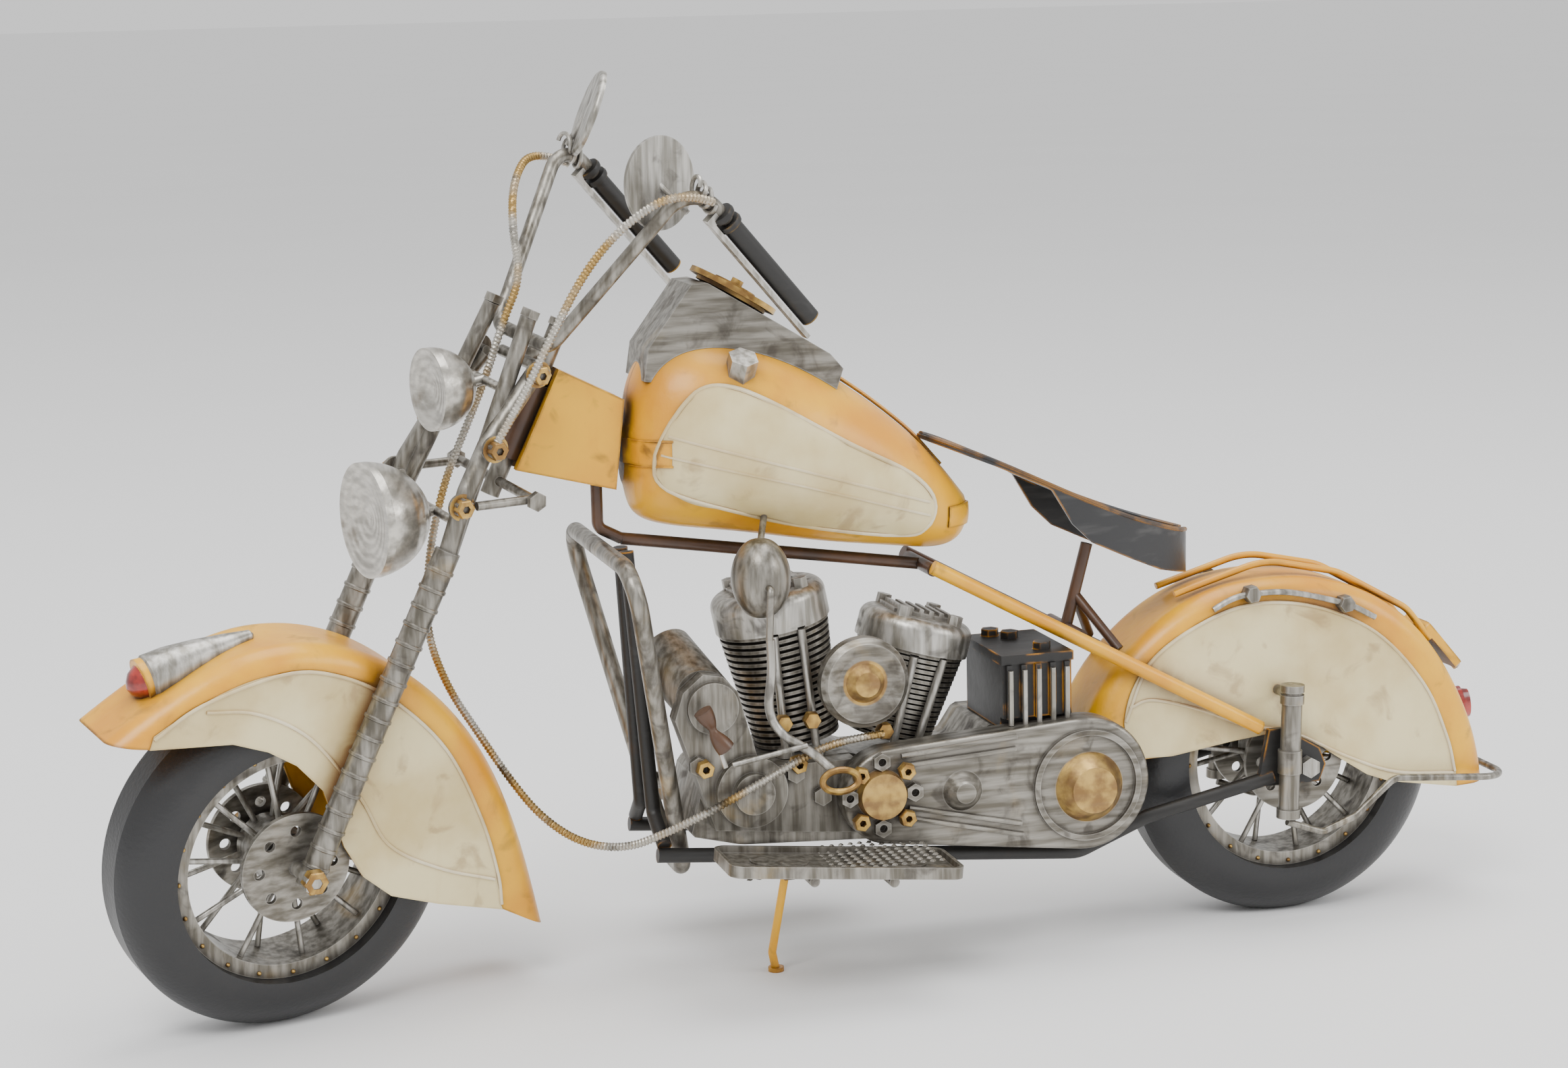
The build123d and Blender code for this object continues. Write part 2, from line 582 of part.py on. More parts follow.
# ---------------------------------------------------------------- instrument housing and gauge
dash_outline = [(-42.0, 166.0), (-40.6, 174.6), (-28.4, 191.0), (-24.0, 191.2), (-4.0, 179.0), (9.4, 170.6),
                (13.0, 166.4), (10.0, 158.0)]
DASH_HALF_WIDTH = 11.0
with BuildPart() as dash_block:
    add(side_plate(dash_outline, -DASH_HALF_WIDTH, DASH_HALF_WIDTH))
    fillet(dash_block.edges().filter_by(Axis.Y).group_by(Axis.Z)[-1], 1.0)
DASH_SLOPE = 31.0
gauge_dir = Vector(sin(radians(DASH_SLOPE)), 0, cos(radians(DASH_SLOPE)))
gauge_seat = Vector(-15.2, 0, 186.4)
dash = cut(dash_block.part, tank_body(0.1), rod(gauge_seat, gauge_seat + gauge_dir * 9, 15))
finish(dash, "dash")

gauge_parts = [rod(gauge_seat + gauge_dir * low, gauge_seat + gauge_dir * (low + height), radius)
               for low, height, radius in ((0.05, 1.0, 10.4), (1.05, 1.5, 12.8), (2.55, 0.8, 6.0), (3.35, 1.6, 1.7))]
finish(joined(*gauge_parts), "gauge")

filler_parts = []
for side in (-1, 1):
    seat_point = Vector(-17.2, side * 14.6, 166.0)
    up = Vector(0.1, side * 0.62, 1).normalized()
    filler_parts.append(hex_nut(seat_point, up, 7.2, 7.0))
finish(cut(joined(*filler_parts), tank_body(0.02), dash_block.part), "filler_caps")

# ---------------------------------------------------------------- seat
seat_top = [(37.0, 146.0), (55.0, 138.6), (78.0, 127.6), (100.0, 118.4), (117.0, 113.4)]
skirt_hem = [(120.0, 100.6), (104.3, 104.6), (94.2, 109.0), (82.2, 114.6), (76.3, 120.3), (70.5, 130.0)]
SEAT_SHEET = 1.1
plan = [(37.0, 0.0), (45.0, 9.0), (58.0, 14.0), (72.0, 16.4), (86.0, 16.0), (100.0, 12.6), (112.0, 7.0)]


def seat_plan(inset):
    """The leaf-shaped plan of the seat."""
    with BuildSketch() as leaf:
        with BuildLine():
            near = Spline(*[(x + (inset if x < 40 else 0), -max(y - inset, 0)) for x, y in plan],
                          (117.0 - inset, 0))
            mirror(near, about=Plane.XZ)
        make_face()
    return leaf.sketch


with BuildPart() as seat:
    add(seat_plan(0))
    extrude(amount=170)
    with BuildSketch(Plane(origin=(0, 0, 0), x_dir=(1, 0, 0), z_dir=(0, -1, 0))):
        with BuildLine():
            top_line = Spline(*seat_top)
            under = Polyline((117.0, 101.4), *skirt_hem[1:], (69.0, 131.0), (55.0, 137.4), (37.0, 144.8))
            Line(top_line @ 1, under @ 0)
            Line(under @ 1, top_line @ 0)
        make_face()
    extrude(amount=40, both=True, mode=Mode.INTERSECT)
with BuildPart() as seat_hollow:
    add(seat_plan(SEAT_SHEET))
    extrude(amount=170)
    with BuildSketch(Plane(origin=(0, 0, 0), x_dir=(1, 0, 0), z_dir=(0, -1, 0))):
        with BuildLine():
            ceiling = Spline(*[(x, z - SEAT_SHEET) for x, z in seat_top])
            Polyline(ceiling @ 1, (117.0, 90.0), (37.0, 90.0), ceiling @ 0)
        make_face()
    extrude(amount=40, both=True, mode=Mode.INTERSECT)
finish(cut(seat.part, seat_hollow.part), "seat")

# ---------------------------------------------------------------- engine
CASE_HALF_WIDTH = 14.8
case_outline = [(-34.0, 42.0), (-30.0, 57.0), (-24.0, 61.4), (12.0, 61.4), (16.0, 58.4), (46.0, 58.4), (51.0, 65.6),
                (73.0, 65.6), (73.0, 33.4), (-20.0, 38.4)]
with BuildPart() as crankcase:
    add(side_plate(case_outline, -CASE_HALF_WIDTH, CASE_HALF_WIDTH))
    chamfer(crankcase.edges().filter_by(Axis.Y), 1.0)
finish(crankcase.part, "crankcase")

FIN_COUNT = 18
FIN_SHEET = 0.9
PUSHROD_RADIUS = 1.15
pushrod_lines = [((-9.4, -14.9, 95.4), (-6.6, -13.9, 63.0)), ((-1.8, -15.2, 97.0), (2.2, -13.9, 63.0)),
                 ((30.4, -14.6, 86.4), (23.6, -13.4, 60.0)), ((39.0, -14.2, 84.8), (30.4, -13.4, 60.0))]
rod_spaces = [rod(Vector(*top) + (Vector(*top) - Vector(*foot)) * 0.02, foot, PUSHROD_RADIUS + FIT_GAP)
              for top, foot in pushrod_lines]


def make_cylinder(base, top, base_radius, top_radius):
    """A finned barrel whose fins widen toward the head, notched where the pushrods pass."""
    base, top = Vector(*base), Vector(*top)
    along = (top - base).normalized()
    height = (top - base).length
    step = (height - FIN_SHEET) / (FIN_COUNT - 1)
    with BuildPart() as barrel:
        with BuildSketch(Plane(origin=base, z_dir=along)):
            Circle(base_radius - 2.4)
        with BuildSketch(Plane(origin=top, z_dir=along)):
            Circle(top_radius - 2.4)
        loft()
        for index in range(FIN_COUNT):
            fin_radius = base_radius + (top_radius - base_radius) * index / (FIN_COUNT - 1)
            with BuildSketch(Plane(origin=base + along * (step * index), z_dir=along)):
                Circle(fin_radius)
            extrude(amount=FIN_SHEET)
    return cut(barrel.part, *rod_spaces)


FRONT_BASE, FRONT_TOP = (0.5, 0, 64.0), (-5.6, 0, 96.4)
REAR_BASE, REAR_TOP = (27.0, 0, 61.8), (34.0, 0, 86.6)
finish(make_cylinder(FRONT_BASE, FRONT_TOP, 12.0, 15.4), "front_cylinder")
finish(make_cylinder(REAR_BASE, REAR_TOP, 11.6, 15.0), "rear_cylinder")


def make_head(base, top, height, radius):
    """A rounded rocker box with a ribbed top plate and four corner nuts."""
    base, top = Vector(*base), Vector(*top)
    along = (top - base).normalized()
    seat_plane = Plane(origin=top + along * FIT_GAP, x_dir=(0, 1, 0), z_dir=along)
    roof = top + along * (FIT_GAP + height)
    with BuildPart() as head:
        with BuildSketch(seat_plane):
            Circle(radius)
        extrude(amount=height)
        fillet(head.edges().sort_by(Axis(top, along))[-1], 3.4)
        with BuildSketch(Plane(origin=roof, x_dir=(0, 1, 0), z_dir=along)):
            Rectangle(13.0, 19.0)
        extrude(amount=1.0)
        with BuildSketch(Plane(origin=roof + along * 1.0, x_dir=(0, 1, 0), z_dir=along)):
            with GridLocations(0, 3.0, 1, 6):
                Rectangle(13.0, 1.3)
        extrude(amount=1.0)
        with BuildSketch(Plane(origin=roof - along * 0.5, x_dir=(0, 1, 0), z_dir=along)):
            with GridLocations(19.0, 15.0, 2, 2):
                RegularPolygon(2.1, 6)
        extrude(amount=3.0)
    return head.part


front_head = make_head(FRONT_BASE, FRONT_TOP, 10.0, 16.0)
rear_head = make_head(REAR_BASE, REAR_TOP, 9.0, 16.0)
finish(cut(joined(front_head, rear_head), *rod_spaces), "rocker_boxes")

pushrods = []
for top, foot in pushrod_lines:
    seat_height = 61.5 if foot[0] < 12 else 58.5
    pushrods.append(rod(top, foot, PUSHROD_RADIUS))
    pushrods.append(hex_nut((foot[0], foot[1], seat_height), (0, 0, 1), 4.2, 2.2))
    pushrods.append(rod((foot[0], foot[1], seat_height), (foot[0], foot[1], foot[2] + 1), 1.4))
finish(joined(*pushrods), "pushrods")

# timing case with the dynamo on its upper corner
CASE_FACE_Y = -21.4
timing_outline = [(-39.0, 76.0), (-36.6, 83.4), (-31.0, 88.0), (-25.6, 87.0), (-21.6, 82.6), (-15.8, 61.2), (11.0, 61.2),
                  (11.0, 40.6), (-28.6, 44.8)]
timing_plate = side_plate(timing_outline, CASE_FACE_Y, -CASE_HALF_WIDTH - FIT_GAP)
dynamo = cut(rod((-29.0, -16.0, 79.0), (-35.6, 3.0, 89.4), 8.2), rod((-29.0, -30, 79.0), (-29.0, -16.4, 79.0), 30))
dynamo_face = rod((-28.8, CASE_FACE_Y, 78.9), (-28.8, CASE_FACE_Y - 1.8, 78.9), 7.0)
lower_boss = rod((-18.8, CASE_FACE_Y, 55.1), (-18.8, CASE_FACE_Y - 2.6, 55.1), 9.8)
lower_cap = rod((-18.8, CASE_FACE_Y - 2.6, 55.1), (-18.8, CASE_FACE_Y - 5.0, 55.1), 5.6)
case_nuts = [hex_nut((x, CASE_FACE_Y, z), (0, -1, 0), 4.6, 2.0) for x, z in ((-33.4, 63.4), (-6.4, 59.0), (1.0, 52.0))]
finish(joined(timing_plate, dynamo, dynamo_face, lower_boss, lower_cap, *case_nuts), "timing_case")

# primary cover
CLUTCH_CENTER = (74.8, 49.9)
CRANK_CENTER = (15.4, 52.8)
CLUTCH_RADIUS = 18.6
PRIMARY_INNER_Y, PRIMARY_OUTER_Y = -21.6, -29.6


def facing_left(x, z, depth):
    """A plane parallel to the mid-plane that faces left."""
    return Plane(origin=(x, depth, z), x_dir=(1, 0, 0), z_dir=(0, -1, 0))


with BuildPart() as primary_cover:
    with BuildSketch(facing_left(0, 0, PRIMARY_INNER_Y)):
        with BuildSketch(mode=Mode.PRIVATE) as ends:
            with Locations(CLUTCH_CENTER):
                Circle(CLUTCH_RADIUS)
            with Locations((18.4, 51.6)):
                Circle(13.2)
        add(make_hull(ends.sketch.edges()))
    extrude(amount=PRIMARY_INNER_Y - PRIMARY_OUTER_Y)
    fillet(primary_cover.faces().sort_by(Axis.Y)[0].edges(), 1.6)
    with BuildSketch(facing_left(*CLUTCH_CENTER, PRIMARY_OUTER_Y)):
        Circle(CLUTCH_RADIUS - 3.0)
        Circle(CLUTCH_RADIUS - 4.6, mode=Mode.SUBTRACT)
    extrude(amount=1.2)
domes = [rod((x, PRIMARY_OUTER_Y, z), (x, PRIMARY_OUTER_Y - rise, z), radius, top_radius)
         for x, z, radius, top_radius, rise in ((*CRANK_CENTER, 6.9, 6.3, 3.2), (38.6, 51.6, 5.6, 2.8, 3.4),
                                                (75.4, 49.2, 9.8, 6.4, 4.6))]
clutch_nuts = []
for index in range(4):
    turn = radians(90 * index)
    clutch_nuts.append(hex_nut((CRANK_CENTER[0] + 9.2 * cos(turn), PRIMARY_OUTER_Y, CRANK_CENTER[1] + 9.2 * sin(turn)),
                               (0, -1, 0), 4.4, 1.8, 1.1))
spigots = [rod((x, PRIMARY_INNER_Y, z), (x, -CASE_HALF_WIDTH - FIT_GAP, z), 5.0) for x, z in ((66.0, 50.0), (30.0, 50.0))]
finish(joined(primary_cover.part, *domes, *clutch_nuts, *spigots), "primary_cover")

# air horn between the cylinders
HORN = (12.4, 83.2)
with BuildPart() as air_horn:
    with BuildSketch(Plane(origin=(HORN[0], 0, HORN[1]), x_dir=(1, 0, 0), z_dir=(0, 0, 1))):
        with BuildLine():
            Polyline((0, -19.0), (9.6, -19.0), (12.3, -23.0), (12.3, -26.6), (10.8, -28.2), (7.4, -27.0), (5.4, -27.0),
                     (3.4, -29.4), (0, -30.4), close=True)
        make_face()
    revolve(axis=Axis((HORN[0], 0, HORN[1]), (0, 1, 0)))
intake = rod((HORN[0] + 2.6, -19.0, HORN[1] - 2), (HORN[0] + 2.6, -7.0, HORN[1] - 2), 2.2)
finish(cut(joined(air_horn.part, intake), *rod_spaces, make_head(FRONT_BASE, FRONT_TOP, 10.0, 16.0)), "air_horn")

# egg-shaped oil bottle with its elbow and strut
BOTTLE = (-15.2, -24.4, 113.6)
with BuildPart() as oil_bottle:
    with BuildSketch(Plane(origin=BOTTLE, x_dir=(1, 0, 0), z_dir=(0, -1, 0))):
        with BuildLine():
            middle = Polyline((1.0, 10.6), (0, 10.6), (0, -10.6), (1.0, -10.6))
            Spline(middle @ 1, (3.2, -10.0), (5.9, -7.3), (8.0, 0), (5.9, 7.3), (3.2, 10.0), middle @ 0)
        make_face()
    revolve(axis=Axis(BOTTLE, (0, 0, 1)))
elbow = bent_rod([(-15.2, -31.0, 112.2), (-15.2, -34.2, 112.2), (-16.0, -34.4, 98.6)], [1.4], 1.0)
bottle_strut = rod((-15.2, -21.0, 106.0), (-12.0, -12.0, 103.4), 1.3)
bottle_stay = rod((-14.6, -23.0, 123.4), (-10.0, -12.0, 131.0), 0.9)
bottle_stays = cut(joined(bottle_strut, bottle_stay), front_head, tank_body(PANEL_SHEET + 0.1))
finish(joined(oil_bottle.part, elbow, bottle_stays), "oil_bottle")

# battery box
with BuildPart() as battery_box:
    with Locations((62.6, -9.0, 76.2)):
        Box(20.0, 30.0, 20.8)
    with Locations((62.6, -9.0, 85.4)):
        Box(21.0, 31.0, 2.6)
    with Locations((62.6, -24.6, 75.0)):
        with GridLocations(4.2, 0, 5, 1):
            Box(1.6, 1.4, 18.0)
    with BuildSketch(Plane.XY.offset(86.7)):
        with Locations((62.6, -2.0), (58.6, 3.0), (66.0, -18.6)):
            RegularPolygon(2.6, 6)
    extrude(amount=2.0)
with BuildPart() as cover_space:
    with Locations((62.6, PRIMARY_INNER_Y - 10, 59.0)):
        Box(60, 20, 20)
finish(cut(battery_box.part, stays, cover_space.part), "battery_box")

# ---------------------------------------------------------------- floorboards
BOARD_LENGTH, BOARD_WIDTH, BOARD_HEIGHT = 64.5, 22.0, 3.2
BOARD_PITCH = 6.2
board_x = Vector(cos(radians(BOARD_PITCH)), 0, -sin(radians(BOARD_PITCH)))
board_up = Vector(sin(radians(BOARD_PITCH)), 0, cos(radians(BOARD_PITCH)))


def make_floorboard(side):
    """A shallow tray with two oval pads, carried by two pegs from the frame rail."""
    origin = Vector(-0.8, side * 42.0, 37.2)
    with BuildPart() as board:
        with BuildSketch(Plane(origin=origin, x_dir=board_x, z_dir=board_up)):
            RectangleRounded(BOARD_LENGTH, BOARD_WIDTH, 3.6)
        extrude(amount=BOARD_HEIGHT)
        with BuildSketch(Plane(origin=origin + board_up * 1.4, x_dir=board_x, z_dir=board_up)):
            RectangleRounded(BOARD_LENGTH - 2.0, BOARD_WIDTH - 2.0, 2.8)
        extrude(amount=BOARD_HEIGHT, mode=Mode.SUBTRACT)
        with BuildSketch(Plane(origin=origin + board_up * 1.2, x_dir=board_x, z_dir=board_up)):
            with GridLocations(33.0, 0, 2, 1):
                Ellipse(8.0, 5.6)
        extrude(amount=0.9)
    pegs = []
    for along in (-9.0, 13.0):
        under = origin + board_x * along - board_up * 1.3
        pegs.append(rod((under.X, side * 19.4, under.Z), (under.X, side * 51.0, under.Z), 1.4))
    return cut(joined(board.part, *pegs), make_rail(side))


for name, side in SIDES.items():
    finish(make_floorboard(side), f"floorboard_{name}")

# ---------------------------------------------------------------- rear rack, lamp, rail and shocks
rack_tube = bent_rod([(110.5, -6.6, 96.2), (138.0, -6.6, 104.0), (161.0, -6.6, 99.0), (183.0, -6.6, 86.6),
                      (190.6, -6.6, 77.0)], [24.0, 20.0, 12.0], 1.0)
rack_plate = Plane(origin=(194.6, 0, 74.7), x_dir=(12.6, 0, -15.0), z_dir=(15.0, 0, 12.6))
with BuildPart() as rack:
    add(both_sides(rack_tube))
    with BuildSketch(rack_plate):
        RectangleRounded(17.0, 15.0, 1.5)
    extrude(amount=1.2, both=True)
finish(cut(rack.part, rear_shell), "rack")

with BuildPart() as tail_lamp:
    with BuildSketch(Plane(origin=(201.0, 0, 54.4), x_dir=(0, 1, 0), z_dir=(1, 0, 0.1))):
        Ellipse(3.4, 5.6)
    extrude(amount=3.4)
    with BuildSketch(Plane(origin=(204.3, 0, 54.7), x_dir=(0, 1, 0), z_dir=(1, 0, 0.1))):
        Ellipse(2.7, 4.9)
    extrude(amount=2.6, taper=14)
finish(cut(tail_lamp.part, rear_shell), "tail_lamp")

RAIL_ROD = 1.0
rear_rail = bent_rod([(137.4, -24.2, 31.6), (149.0, -22.8, 27.2), (160.0, -21.0, 30.2), (172.5, -20.8, 40.4),
                      (210.0, -20.8, 37.2), (210.0, 0, 37.2)], [4.0, 5.0, 6.0, 10.0], RAIL_ROD)
finish(both_sides(rear_rail), "rear_rail")

SHOCK_Y = -24.4
shock_pieces = [rod((137.6, SHOCK_Y, 33.0), (138.8, SHOCK_Y, 71.0), 2.9)]
for low, high in ((33.0, 35.6), (46.0, 52.6), (66.0, 68.6), (69.4, 71.4)):
    x = 137.6 + 1.2 * (low - 33) / 38
    shock_pieces.append(rod((x, SHOCK_Y, low), (x + 0.06, SHOCK_Y, high), 3.4))
shock_pieces.append(rod((138.7, SHOCK_Y, 68.0), (138.7, -FENDER_HALF_WIDTH - PANEL_SHEET - FIT_GAP, 68.0), 1.4))
shock_pieces.append(rod((137.9, SHOCK_Y, 49.0), (137.9, -plate_outside - FIT_GAP, 49.0), 1.4))
finish(both_sides(joined(*shock_pieces)), "shocks")

# ---------------------------------------------------------------- kickstand
eye = rod((STAND_PIVOT.X, -15.7, STAND_PIVOT.Z), (STAND_PIVOT.X, -13.6, STAND_PIVOT.Z), 2.3)
leg = bent_rod([tuple(STAND_PIVOT), (-11.0, -10.4, 5.6), (-9.2, -9.6, -3.0)], [3.0], 1.15)
sole = rod((-9.8, -9.8, 0), (-9.8, -9.8, 1.2), 2.2)
below_ground = rod((-9.8, -9.8, -20), (-9.8, -9.8, 0), 20)
bore = rod((STAND_PIVOT.X, -30, STAND_PIVOT.Z), (STAND_PIVOT.X, 0, STAND_PIVOT.Z), STAND_PIN_RADIUS + RUNNING_CLEARANCE)
finish(cut(joined(eye, leg, sole), bore, below_ground), "kickstand")

# ---------------------------------------------------------------- control cables
clutch_route = [(-39.4, -39.4, 218.6), (-50.0, -40.6, 222.5), (-61.0, -34.0, 214.5), (-69.5, -27.5, 201.5),
                (-77.5, -24.6, 184.5), (-86.0, -24.2, 168.0), (-93.0, -24.6, 158.0)]
brake_route = [(-38.8, 39.4, 215.5), (-49.8, 39.8, 220.5), (-60.5, 30.5, 214.0), (-67.6, 17.0, 203.5),
               (-70.8, 5.6, 193.0), (-77.8, 2.6, 182.0), (-80.8, 5.4, 168.0), (-85.0, 8.6, 154.0),
               (-91.5, 7.6, 141.5), (-95.6, 6.6, 129.0), (-98.0, 6.0, 117.0)]
# in the frame's own place, not turned with the steering
engine_route = [(-99.2, 4.0, 117.6), (-100.6, 4.4, 101.0), (-95.0, 8.0, 84.0), (-86.6, 10.5, 70.0), (-79.0, 10.0, 57.0),
                (-71.5, 4.0, 46.4), (-62.5, -6.0, 40.6), (-52.5, -16.5, 41.0), (-44.0, -24.0, 46.0),
                (-34.0, -27.8, 51.2), (-21.5, -29.0, 57.2), (-8.0, -27.8, 63.5), (5.0, -26.0, 68.0),
                (18.0, -24.0, 68.0)]


def cable(route):
    """A wound cable along its route, with bends as large as its runs allow."""
    points = [Vector(*point) for point in route]
    bends = []
    for before, here, after in zip(points, points[1:], points[2:]):
        turn = (here - before).get_angle(after - here)
        shorter = min((here - before).length, (after - here).length)
        bends.append(0.45 * shorter / tan(radians(turn / 2)))
    print("cable bends", [round(bend, 1) for bend in bends])
    return bent_rod(points, bends, CABLE_RADIUS)


finish(joined(cable(clutch_route), cable(brake_route)), "control_cables", True)
finish(cable(engine_route), "brake_cable")
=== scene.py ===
"""Looks for the sheet-metal motorcycle: finishes for its pieces, and the fine pieces around them.

Metres, in the model's own frame: +X to the rear, +Y to the rider's right, +Z up. Sizes in
this script are written in millimetres and scaled once. The front end's fine pieces are
laid out straight ahead and then turned with the fork to its rest angle.
"""

import json
from math import cos, pi, radians, sin

import bmesh
import bpy
from mathutils import Matrix, Vector
from mathutils.bvhtree import BVHTree


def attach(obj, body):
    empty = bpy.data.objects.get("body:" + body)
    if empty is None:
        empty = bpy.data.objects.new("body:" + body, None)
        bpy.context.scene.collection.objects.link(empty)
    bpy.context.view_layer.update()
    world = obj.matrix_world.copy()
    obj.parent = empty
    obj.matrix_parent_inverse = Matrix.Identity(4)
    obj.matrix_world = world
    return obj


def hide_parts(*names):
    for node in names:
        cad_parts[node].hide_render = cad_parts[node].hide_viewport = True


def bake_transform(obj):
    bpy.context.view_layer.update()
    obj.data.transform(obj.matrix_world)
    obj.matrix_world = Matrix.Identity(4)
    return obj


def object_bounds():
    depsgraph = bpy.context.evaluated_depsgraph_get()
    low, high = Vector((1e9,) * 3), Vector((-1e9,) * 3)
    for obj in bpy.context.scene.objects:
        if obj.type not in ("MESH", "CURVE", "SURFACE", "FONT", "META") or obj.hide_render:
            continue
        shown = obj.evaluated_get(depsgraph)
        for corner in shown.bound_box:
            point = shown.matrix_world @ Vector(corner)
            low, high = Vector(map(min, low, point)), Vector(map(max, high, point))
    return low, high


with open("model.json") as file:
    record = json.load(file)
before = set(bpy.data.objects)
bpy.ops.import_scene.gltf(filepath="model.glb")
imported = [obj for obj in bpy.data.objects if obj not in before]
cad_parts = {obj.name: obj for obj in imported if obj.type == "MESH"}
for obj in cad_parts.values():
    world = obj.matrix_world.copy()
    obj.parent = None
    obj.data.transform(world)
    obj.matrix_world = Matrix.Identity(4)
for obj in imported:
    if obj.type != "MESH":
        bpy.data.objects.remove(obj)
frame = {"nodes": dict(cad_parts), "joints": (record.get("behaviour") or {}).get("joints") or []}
CAD_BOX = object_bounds()

MM = 0.001
LEFT, RIGHT = -1, 1
WHEEL_RADIUS = 46.5
FRONT_X, REAR_X = -145.0, 145.0
FENDER_HALF_WIDTH = 14.2
PANEL_SHEET = 0.45
LEG_Y = 18.3
STEER_REST = 17.96          # degrees to the left
STEER_RISE = 0.625

steering = next(joint for joint in frame["joints"] if joint["name"] == "steering")
STEER_FOOT = Vector(steering["pos_m"])
STEER_DIR = Vector(steering["axis"]).normalized()
TURN = (Matrix.Translation(STEER_FOOT + STEER_DIR * STEER_RISE * MM)
        @ Matrix.Rotation(radians(STEER_REST), 4, STEER_DIR) @ Matrix.Translation(-STEER_FOOT))


# ---------------------------------------------------------------- shader maths
class Wire:
    """A value in a finish: arithmetic on it adds the nodes that work it out."""

    def __init__(self, finish, socket):
        self.finish = finish
        self.socket = socket

    def __add__(self, other):
        return self.finish.maths("ADD", self, other)

    def __sub__(self, other):
        return self.finish.maths("SUBTRACT", self, other)

    def __rsub__(self, other):
        return self.finish.maths("SUBTRACT", other, self)

    def __mul__(self, other):
        return self.finish.maths("MULTIPLY", self, other)

    __radd__ = __add__
    __rmul__ = __mul__


class Finish:
    """One material and the nodes that it is built from."""

    def __init__(self, name):
        self.material = bpy.data.materials.new(name)
        self.material.use_nodes = True
        self.tree = self.material.node_tree
        self.shader = self.tree.nodes["Principled BSDF"]
        self.place = self.node("TexCoord", output="Object")
        x, y, z = (self.node("SeparateXYZ", inputs={"Vector": self.place}, output=axis) for axis in "XYZ")
        self.x, self.y, self.z = x, y, z

    def node(self, kind, settings=None, inputs=None, output=0):
        made = self.tree.nodes.new("ShaderNode" + kind)
        for key, value in (settings or {}).items():
            setattr(made, key, value)
        for key, value in (inputs or {}).items():
            if isinstance(value, Wire):
                self.tree.links.new(value.socket, made.inputs[key])
            else:
                made.inputs[key].default_value = value
        return Wire(self, made.outputs[output])

    def maths(self, operation, *values):
        return self.node("Math", {"operation": operation}, dict(enumerate(values)))

    def ramp(self, value, low, high):
        """0 below low, 1 above high and a smooth rise between, or a fall where high is the lower."""
        settings = {"interpolation_type": "SMOOTHSTEP"}
        if low < high:
            return self.node("MapRange", settings, {"Value": value, "From Min": low, "From Max": high})
        return 1 - self.node("MapRange", settings, {"Value": value, "From Min": high, "From Max": low})

    def noise(self, scale, detail=3.0, stretch=(1, 1, 1), distortion=0.0):
        """Cloudy noise with a number of lumps to the metre, drawn out along an axis by a small stretch."""
        place = self.node("Mapping", inputs={"Vector": self.place, "Scale": stretch})
        return self.node("TexNoise", inputs={"Vector": place, "Scale": scale, "Detail": detail,
                                             "Distortion": distortion}, output="Fac")

    def mix(self, share, first, second):
        return self.node("Mix", {"data_type": "RGBA"}, {0: share, 6: first, 7: second}, output=2)

    def around(self, center, radius, soft=0.3):
        """1 inside a round rod that lies along Y, and 0 outside it; centre as X and Z in mm."""
        dx = self.x - center[0] * MM
        dz = self.z - center[1] * MM
        reach = self.maths("SQRT", dx * dx + dz * dz)
        return self.ramp(reach, (radius + soft) * MM, (radius - soft) * MM)

    def painted_shade(self, depth=4.0):
        """Painted shade from ambient occlusion: 1 in a tight corner, where shade falls, and 0 in the open."""
        open_air = self.node("AmbientOcclusion", {"samples": 4}, {"Distance": depth * MM}, "AO")
        return self.ramp(open_air, 0.92, 0.35)

    def edge(self, radius=0.7):
        """1 on a sharp edge and 0 on the flat."""
        soft = self.node("Bevel", {"samples": 4}, {"Radius": radius * MM})
        true = self.node("NewGeometry", output="Normal")
        alike = self.node("VectorMath", {"operation": "DOT_PRODUCT"}, {0: soft, 1: true}, "Value")
        return self.ramp(alike, 0.985, 0.86)

    def finish(self, color, roughness, metallic=0.0, height=None, depth=0.1, coat=None):
        """Join the values to the shader; height is a bump of a depth in mm."""
        for key, value in {"Base Color": color, "Roughness": roughness, "Metallic": metallic}.items():
            if isinstance(value, Wire):
                self.tree.links.new(value.socket, self.shader.inputs[key])
            else:
                self.shader.inputs[key].default_value = value
        if height is not None:
            bump = self.node("Bump", inputs={"Height": height, "Distance": depth * MM}, output="Normal")
            self.tree.links.new(bump.socket, self.shader.inputs["Normal"])
        if coat:
            self.shader.inputs["Coat Weight"].default_value = coat
            self.shader.inputs["Coat Roughness"].default_value = 0.22
        return self.material


# ---------------------------------------------------------------- finishes
AMBER = (0.88, 0.45, 0.0, 1)
AMBER_DEEP = (0.72, 0.29, 0.0, 1)
CREAM = (0.80, 0.69, 0.38, 1)
CREAM_DULL = (0.60, 0.46, 0.20, 1)
UMBER = (0.055, 0.022, 0.008, 1)
RUST = (0.20, 0.075, 0.02, 1)
SILVER = (0.36, 0.34, 0.30, 1)
SILVER_DULL = (0.135, 0.122, 0.098, 1)
GOLD = (0.62, 0.40, 0.11, 1)
BRONZE = (0.27, 0.15, 0.05, 1)
BLACK = (0.012, 0.011, 0.010, 1)
SHADE_AND_GRIME = (0.03, 0.022, 0.016, 1)
RED = (0.42, 0.022, 0.012, 1)
RED_DEEP = (0.14, 0.006, 0.004, 1)


